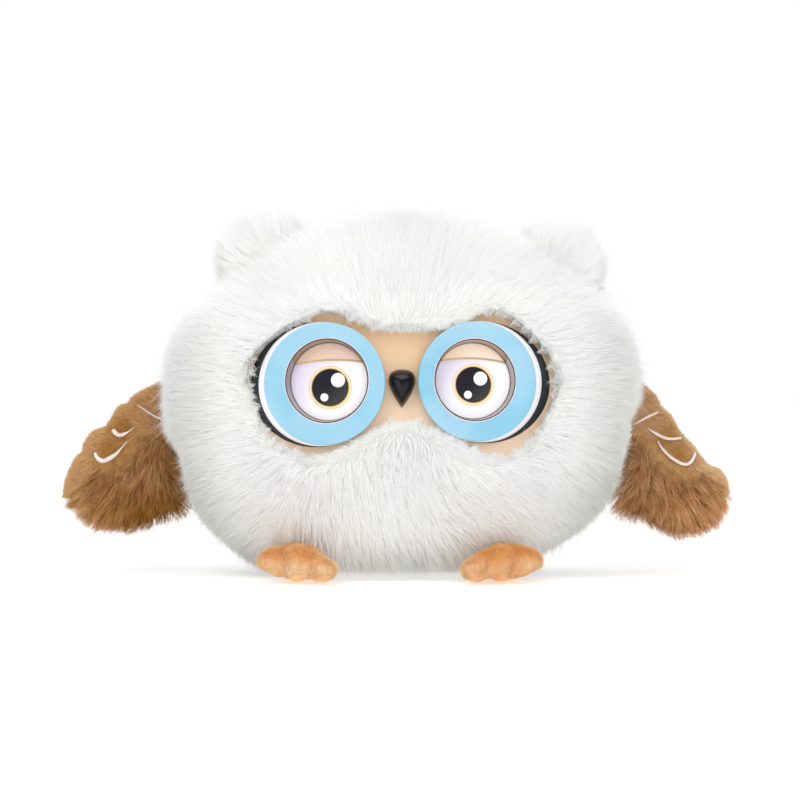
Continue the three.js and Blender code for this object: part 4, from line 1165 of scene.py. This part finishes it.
def makeEyePrint():  # the disc's printed picture from its flat place on the disc, in millimetres
    tree, given, result = newGroup("eyePrint", "ShaderNodeTree", [
        ("Pupil", "Vector", (0, 0, 0)), ("Pupil Radius", "Float", 7.4), ("Gold Radius", "Float", 8.7),
        ("Large Glint", "Vector", (0, 0, 0)), ("Large Radius", "Float", 2.8), ("Small Glint", "Vector", (0, 0, 0)),
        ("Small Radius", "Float", 1.6), ("Lid Height", "Float", 9.0), ("Lid Slope", "Float", 0.0),
        ("Lid Bend", "Float", -0.01), ("Lid Colour", "Color", (1, 1, 1, 1)),
    ], [("Colour", "Color")])
    place = addNode(tree, "ShaderNodeAttribute", attribute_name="print").outputs["Vector"]
    apart = addNode(tree, "ShaderNodeSeparateXYZ", {0: place})
    across, up = apart.outputs[0], apart.outputs[1]

    def inside(middle, radius, soft=0.07):
        gap = vectors(tree, "LENGTH", vectors(tree, "SUBTRACT", place, middle))
        beyond = maths(tree, "SUBTRACT", gap, radius)
        return ramped(tree, beyond, soft, -soft)

    # The eye white, the gold ring and the pupil are painted darker up and to the left, where drift is low: a painted
    # shade from the window's wall
    drift = maths(tree, "SUBTRACT", across, up)
    colour = mixed(tree, ramped(tree, drift, -16.0, 8.0), paint(230, 221, 238), paint(254, 252, 254))
    pupil, pupilRadius, goldRadius = given["Pupil"], given["Pupil Radius"], given["Gold Radius"]
    colour = mixed(tree, inside(pupil, goldRadius), colour, paint(214, 184, 138))
    colour = mixed(tree, inside(pupil, maths(tree, "SUBTRACT", goldRadius, 0.28)), colour, paint(253, 238, 206))
    warm = mixed(tree, ramped(tree, drift, -6.0, 12.0), paint(226, 190, 132), paint(240, 200, 118))
    colour = mixed(tree, inside(pupil, maths(tree, "ADD", pupilRadius, 0.52), 0.2), colour, warm)
    ink = mixed(tree, ramped(tree, drift, 0.0, 14.0), paint(36, 33, 42), paint(66, 66, 64))
    colour = mixed(tree, inside(pupil, pupilRadius, 0.1), colour, ink)
    glint = mixed(tree, ramped(tree, drift, -4.0, 8.0), paint(252, 250, 253), paint(240, 230, 246))
    colour = mixed(tree, inside(given["Large Glint"], given["Large Radius"], 0.1), colour, glint)
    small = inside(given["Small Glint"], given["Small Radius"], 0.1)
    colour = mixed(tree, small, colour, paint(252, 251, 253))
    bend = maths(tree, "MULTIPLY", maths(tree, "MULTIPLY", across, across), given["Lid Bend"])
    rise = maths(tree, "MULTIPLY", across, given["Lid Slope"])
    line = maths(tree, "ADD", maths(tree, "ADD", given["Lid Height"], rise), bend)
    over = maths(tree, "SUBTRACT", up, line)
    shade = mixed(tree, ramped(tree, over, -2.2, -0.3), (1, 1, 1, 1), (0.93, 0.9, 0.96, 1))
    colour = mixed(tree, 1.0, colour, shade, "MULTIPLY")
    edge = mixed(tree, ramped(tree, across, -10.0, 2.0), paint(216, 180, 134), paint(190, 168, 124))
    colour = mixed(tree, ramped(tree, over, -0.55, -0.35), colour, edge)
    lidColour = given["Lid Colour"]
    deeper = mixed(tree, 0.35, lidColour, paint(232, 198, 152))
    lid = mixed(tree, ramped(tree, maths(tree, "ADD", across, up), -4.0, 16.0), deeper, lidColour)
    colour = mixed(tree, ramped(tree, over, 0.3, 0.6), colour, lid)
    tree.links.new(colour, result["Colour"])
    return tree


eyePrint = makeEyePrint()


def printedMaterial(name, values):
    material, tree, shader = newMaterial(name, Roughness=0.28, Specular_IOR_Level=0.3)
    large, small, lid = values["large"], values["small"], values["lid"]
    group = placed(tree, eyePrint, Pupil=(*values["pupil"], 0), Pupil_Radius=values["pupilRadius"],
                   Gold_Radius=values["goldRadius"], Large_Glint=(*large[:2], 0), Large_Radius=large[2],
                   Small_Glint=(*small[:2], 0), Small_Radius=small[2], Lid_Height=lid[0], Lid_Slope=lid[1],
                   Lid_Bend=lid[2], Lid_Colour=paint(*values["lidColour"]))
    tree.links.new(group.outputs["Colour"], shader.inputs["Base Color"])
    return material


def eyeInFace(side):  # millimetres
    across, up, size = eyeShape["fit"][side]
    shift = Matrix.Translation((side * eyeShape["spread"] + across, -eyeShape["proud"], up))
    return shift @ Matrix.Rotation(side * eyeShape["yaw"], 4, "Z") @ Matrix.Scale(size, 4)


def eyePlace(side):
    return faceFrame @ Matrix.Scale(mm, 4) @ eyeInFace(side)


def windowMiddle(side):
    return side * eyeShape["window"][side][0], eyeShape["window"][side][1]


def turnedPiece(name, side, profile, material, closed=True):
    # profile: (radius, depth, middle), where middle is "window", "lean" or "ring", and depth may be a function
    facets = eyeShape["facets"]
    turns = 2 * np.pi * np.arange(facets) / facets
    points, loops = [], []
    for radius, depth, middle in profile:
        ownDepth = depth if not callable(depth) else 0
        centre = {"window": windowMiddle(side), "ring": (0, 0), "lean": (side * eyeShape["lean"] * ownDepth, 0)}[middle]
        first = len(points)
        if radius == 0:
            points.append((centre[0], ownDepth, centre[1]))
            loops.append([first] * facets)
            continue
        for turn in turns:
            x, z = radius * math.cos(turn), radius * math.sin(turn)
            if callable(depth):
                points.append(depth(side, radius, turn))
            else:
                points.append((centre[0] + x, ownDepth, centre[1] + z))
        loops.append(list(range(first, first + facets)))
    faces = []
    pairs = list(zip(loops, loops[1:] + loops[:1])) if closed else list(zip(loops[:-1], loops[1:]))
    for a, b in pairs:
        if a[0] == a[1] and b[0] == b[1]:
            continue
        for i in range(facets):
            j = (i + 1) % facets
            corners = [a[i], a[j], b[j], b[i]]
            faces.append(tuple(dict.fromkeys(corners)))
    place = eyePlace(side)
    mesh = outward(newMesh(name, [place @ Vector(p) for p in points], faces))
    mesh.shade_smooth()
    mesh.set_sharp_from_angle(angle=math.radians(35))
    piece = newObject(name, mesh, material)
    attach(piece, "body")
    return piece


def maskDepth(shift):  # where the leaning wall meets the mask's front
    def at(side, radius, turn):
        x, z = radius * math.cos(turn), radius * math.sin(turn)
        depth = 6.0
        toFace = eyeInFace(side)
        for _ in range(12):
            spot = toFace @ Vector((side * eyeShape["lean"] * depth + x, depth, z))
            drum = maskRadius - math.sqrt(maskRadius ** 2 - min(abs(spot.x), 100) ** 2)
            depth += (drum - spot.y) * 0.8
        depth += shift
        return (side * eyeShape["lean"] * depth + x, depth, z)
    return at


def filletProfile(radius, start, end, size, middle):  # a rounded rim from a front face to a wall
    rows = []
    for step in range(5):
        turn = math.pi / 2 * step / 4
        rows.append((radius - size * (1 - math.sin(turn)), start + size * (1 - math.cos(turn)), middle))
    return rows + [(radius, end, middle)]


discRings = (0, 3, 6, 9, 12, 14, 15.4)


def makeEye(name, side):
    shape, values = eyeShape, eyePrints[name]
    title = name.capitalize()
    window, wall, barrel, podRadius = (shape[k] for k in ("windowRadius", "ringWall", "barrelRadius", "podRadius"))
    front, back, (wellFront, wellBack) = shape["podFront"], shape["podBack"], shape["well"]
    (inner, outer, low), (near, far) = shape["bezelRadii"], shape["bezelDepths"]
    onWindow = lambda rows: [(radius, depth, "window") for radius, depth in rows]
    ring = [*onWindow([(window + 0.22, 0.0)]), *filletProfile(shape["ringRadius"], 0.0, wall, 0.45, "ring"),
            *onWindow([(window, wall), (window, 0.22), (window + 0.07, 0.07)])]
    pod = [*onWindow([(window, front)]), *filletProfile(podRadius, front, back, 0.3, "lean"),
           *onWindow([(barrel, back), (barrel, shape["barrelEnd"]), (window, shape["barrelEnd"]), (window, wellBack),
                      (0, wellBack), (0, wellFront), (window, wellFront)])]
    gasket = [*onWindow([(barrel + 0.3, shape["gasketFront"])]), (podRadius, shape["gasketFront"], "lean"),
              (podRadius + 0.15, maskDepth(-0.02), "lean"), *onWindow([(barrel + 0.3, shape["gasketEnd"])])]
    bezel = onWindow([(inner, near), (outer, near), (outer, far), (low, far)])
    dome = [shape["discDepth"] - shape["discRise"] * (1 - (r / shape["discRadius"]) ** 2) for r in discRings]
    disc = onWindow([*zip(discRings, dome), (outer, shape["discDepth"]), (outer, shape["discBack"]),
                     (0, shape["discBack"])])
    circle = np.linspace(0, 2 * np.pi, 7)[:-1]
    cord = lambda radius, depth, half: onWindow([
        (radius + half * math.cos(t), depth + half * math.sin(t)) for t in circle])
    pieces = {
        f"eyeRing{title}": (ring, bluePlastic, "blue_plastic", f"eye_ring_{name}"),
        f"eyePod{title}": (pod, whitePlastic, "white_plastic", f"eye_pod_{name}"),
        f"eyeBezel{title}": (bezel, smokedMetal, "smoked_metal", f"eye_bezel_{name}"),
        f"eyeDisc{title}": (disc, printedMaterial(f"printedDisc{title}", values), "printed_disc", f"eye_disc_{name}"),
        f"bezelFrontLine{title}": (cord(16.82, 0.2, 0.09), darkLine, "smoked_metal", None),
        # The back line is a painted shadow where the disc meets the bezel's wall
        f"bezelBackLine{title}": (cord(15.6, 5.2, 0.08), darkLine, "smoked_metal", None),
        # The thin white cord on the window's edge is a painted highlight on the ring's inner lip
        f"windowLip{title}": (cord(17.16, 0.1, 0.16), whitePlastic, "white_plastic", None),
    }
    for pieceName, (profile, material, slotName, node) in pieces.items():
        piece = turnedPiece(pieceName, side, profile, material, closed=profile[0][0] != 0 or profile[-1][0] != 0)
        if node:
            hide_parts(node)
        if pieceName.startswith("eyeDisc"):
            flat = inFrame(eyePlace(side), pointsOf(piece.data))
            across, up = (flat[:, axis] - middle for axis, middle in zip((0, 2), windowMiddle(side)))
            store(piece.data, "print", np.stack([across, up, np.zeros(len(flat))], axis=1))
    piece = turnedPiece(f"eyeGasket{title}", side, gasket, blackFoam)
    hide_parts(f"eye_gasket_{name}")


for sideName, side in sides.items():
    makeEye(sideName, side)

beakShape = {
    "halfWidth": 5.4, "top": 5.6, "drop": 9.8, "reach": 8.0, "shoulder": 1.2, "below": -0.5, "ahead": 0.3,
    "around": 96, "rings": 22,
}


def makeBeak():
    shape = beakShape
    wide, top, drop, shoulder = (shape[k] for k in ("halfWidth", "top", "drop", "shoulder"))
    half = [((0, -drop), (0.42 * wide, -0.72 * drop), (wide, -0.2 * drop), (wide, shoulder)),
            ((wide, shoulder), (wide, 0.78 * top), (0.6 * wide, top), (0, top))]
    corners = []
    for a, b, c, d in half:
        for t in np.arange(12) / 12:
            shares = (1 - t) ** 3, 3 * t * (1 - t) ** 2, 3 * t * t * (1 - t), t ** 3
            corners.append(tuple(sum(share * spot[k] for share, spot in zip(shares, (a, b, c, d))) for k in (0, 1)))
    corners += [(0, top)] + [(-x, z) for x, z in corners[:0:-1]]
    closedLine = np.array(corners + corners[:1])
    along = np.concatenate([[0], np.cumsum(np.linalg.norm(np.diff(closedLine, axis=0), axis=1))])
    wanted = np.linspace(0, along[-1], shape["around"], endpoint=False)
    outline = np.stack([np.interp(wanted, along, closedLine[:, k]) for k in (0, 1)], axis=1)
    points, around = [], shape["around"]
    for ring in range(shape["rings"]):
        share = math.cos(math.pi / 2 * ring / shape["rings"])
        height = -shape["reach"] * math.sin(math.pi / 2 * ring / shape["rings"])
        points += [(x * share, height, z * share) for x, z in outline]
    points += [(0, -shape["reach"], 0), (0, 0, 0)]
    last = (shape["rings"] - 1) * around
    faces = bandFaces(0, shape["rings"] - 1, around)
    faces += [(last + i, last + (i + 1) % around, len(points) - 2) for i in range(around)]
    faces += [((i + 1) % around, i, len(points) - 1) for i in range(around)]
    place = [faceFrame @ (Vector((x, y - shape["ahead"], z - shape["below"])) * mm) for x, y, z in points]
    mesh = outward(newMesh("beakShell", place, faces))
    mesh.shade_smooth()
    mesh.set_sharp_from_angle(angle=math.radians(60))
    piece = newObject("beakShell", mesh, blackGloss)
    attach(piece, "body")
    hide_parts("beak")


makeBeak()


def makeSoftShade():  # a node's loose triangles joined and shaded smooth up to a crease
    tree, given, result = newGroup("softShade", "GeometryNodeTree", [
        ("Geometry", "Geometry", None), ("Crease", "Float", math.radians(30)),
    ], [("Geometry", "Geometry")])
    tree.is_modifier = True
    joined = addNode(tree, "GeometryNodeMergeByDistance", {
        "Geometry": given["Geometry"], "Distance": 0.00001})
    smoothed = addNode(tree, "GeometryNodeSetShadeSmooth", {
        "Geometry": joined.outputs[0], "Shade Smooth": True}, domain="FACE")
    angle = addNode(tree, "GeometryNodeInputMeshEdgeAngle").outputs[0]
    sharp = addNode(tree, "FunctionNodeCompare", {0: angle, 1: given["Crease"]}, operation="GREATER_THAN")
    creased = addNode(tree, "GeometryNodeSetShadeSmooth", {
        "Geometry": smoothed.outputs[0], "Selection": sharp.outputs[0], "Shade Smooth": False}, domain="EDGE")
    tree.links.new(creased.outputs[0], result["Geometry"])
    return tree


softShade = makeSoftShade()
finishes = {
    "face_mask": peachPlastic, "mask_back_plate": greyPlastic, "beak_washer": whitePlastic,
    "stuffing_core": fibrefill, "pellet_pouch": pouchCloth, **{f"mask_screw_{n}": steelFinish for n in range(1, 5)},
}
for node, finish in finishes.items():
    nodes[node].data.materials.clear()
    nodes[node].data.materials.append(finish)
    nodes[node].modifiers.new("softShade", "NODES").node_group = softShade
print("face finished")


# Stage

world = bpy.data.worlds.new("studio")
bpy.context.scene.world = world
world.use_nodes = True
sky = world.node_tree
backdrop = sky.nodes["Background"]
path = addNode(sky, "ShaderNodeLightPath")
toward = addNode(sky, "ShaderNodeSeparateXYZ", {0: addNode(sky, "ShaderNodeTexCoord").outputs["Generated"]})
# What glossy plastic mirrors: a light overhead and one low on the left
high = ramped(sky, toward.outputs[2], 0.5, 0.75)
strip = maths(sky, "MULTIPLY", ramped(sky, toward.outputs[0], -0.35, -0.6), ramped(sky, toward.outputs[2], 0.3, 0.0))
mirrored = ramped(sky, maths(sky, "ADD", high, strip), 0.0, 1.0, 0.06, 2.6)
stageLight = {"ambient": 0.72, "key": 5.2, "fill": 4.6, "floorLift": 0.4, "floorGlow": 0.6}
strength = mixed(sky, path.outputs["Is Glossy Ray"], (stageLight["ambient"],) * 3 + (1,), mirrored)
strength = mixed(sky, path.outputs["Is Camera Ray"], strength, (1, 1, 1, 1))
tint = mixed(sky, path.outputs["Is Camera Ray"], (0.97, 0.98, 1, 1), (1, 1, 1, 1))
sky.links.new(strength, backdrop.inputs["Strength"])
sky.links.new(tint, backdrop.inputs["Color"])

floorHalf, floorHeight = 3, -0.0003
floorCorners = [(x * floorHalf, y * floorHalf, floorHeight) for x, y in ((-1, -1), (1, -1), (1, 1), (-1, 1))]
floor = newObject("floor", newMesh("floor", floorCorners, [(0, 1, 2, 3)]))
floorFinish, floorTree, floorShader = newMaterial("paleFloor", Roughness=0.8, Specular_IOR_Level=0.2)
floorShader.inputs["Base Color"].default_value = (0.9, 0.9, 0.9, 1)
floorShader.inputs["Emission Color"].default_value = (1, 1, 1, 1)
floorPath = addNode(floorTree, "ShaderNodeLightPath")
floorGlow = maths(floorTree, "MAXIMUM", floorPath.outputs["Is Camera Ray"], stageLight["floorGlow"])
floorGlow = maths(floorTree, "MULTIPLY", floorGlow, stageLight["floorLift"])  # a light table, brighter to the eye
floorTree.links.new(floorGlow, floorShader.inputs["Emission Strength"])
floor.data.materials.append(floorFinish)


def addLamp(name, size, power, place, target, tint=(1, 1, 1)):
    lamp = bpy.data.lights.new(name, "AREA")
    lamp.shape, lamp.size, lamp.energy, lamp.color = "DISK", size, power, tint
    holder = bpy.data.objects.new(name, lamp)
    holder.location = place
    holder.rotation_euler = (Vector(target) - Vector(place)).to_track_quat("-Z", "Y").to_euler()
    holder.visible_glossy = False
    bpy.context.scene.collection.objects.link(holder)


addLamp("keyLamp", 0.7, stageLight["key"], (-0.6, -1.1, 1.1), (0, 0, 0.08))
addLamp("fillLamp", 0.9, stageLight["fill"], (0.3, -1.35, 0.4), (0, 0, 0.08))

cameraView = {"distance": 1500 * mm, "elevation": math.radians(1), "aim": Vector((-0.8, 0, 73)) * mm, "width": 336 * mm}
camera = bpy.data.cameras.new("camera")
camera.sensor_width = 36
camera.lens = camera.sensor_width * cameraView["distance"] / cameraView["width"]
camera.clip_start, camera.clip_end = 0.05, 20
cameraHolder = bpy.data.objects.new("camera", camera)
back = Vector((0, -math.cos(cameraView["elevation"]), math.sin(cameraView["elevation"])))
cameraHolder.location = cameraView["aim"] + back * cameraView["distance"]
cameraHolder.rotation_euler = (-back).to_track_quat("-Z", "Y").to_euler()
bpy.context.scene.collection.objects.link(cameraHolder)
bpy.context.scene.camera = cameraHolder
bpy.context.scene.view_settings.view_transform = "Standard"
bpy.context.scene.cycles.diffuse_bounces = 10  # light wanders far in white pile
bpy.context.scene.cycles.max_bounces = 10
print("stage set")
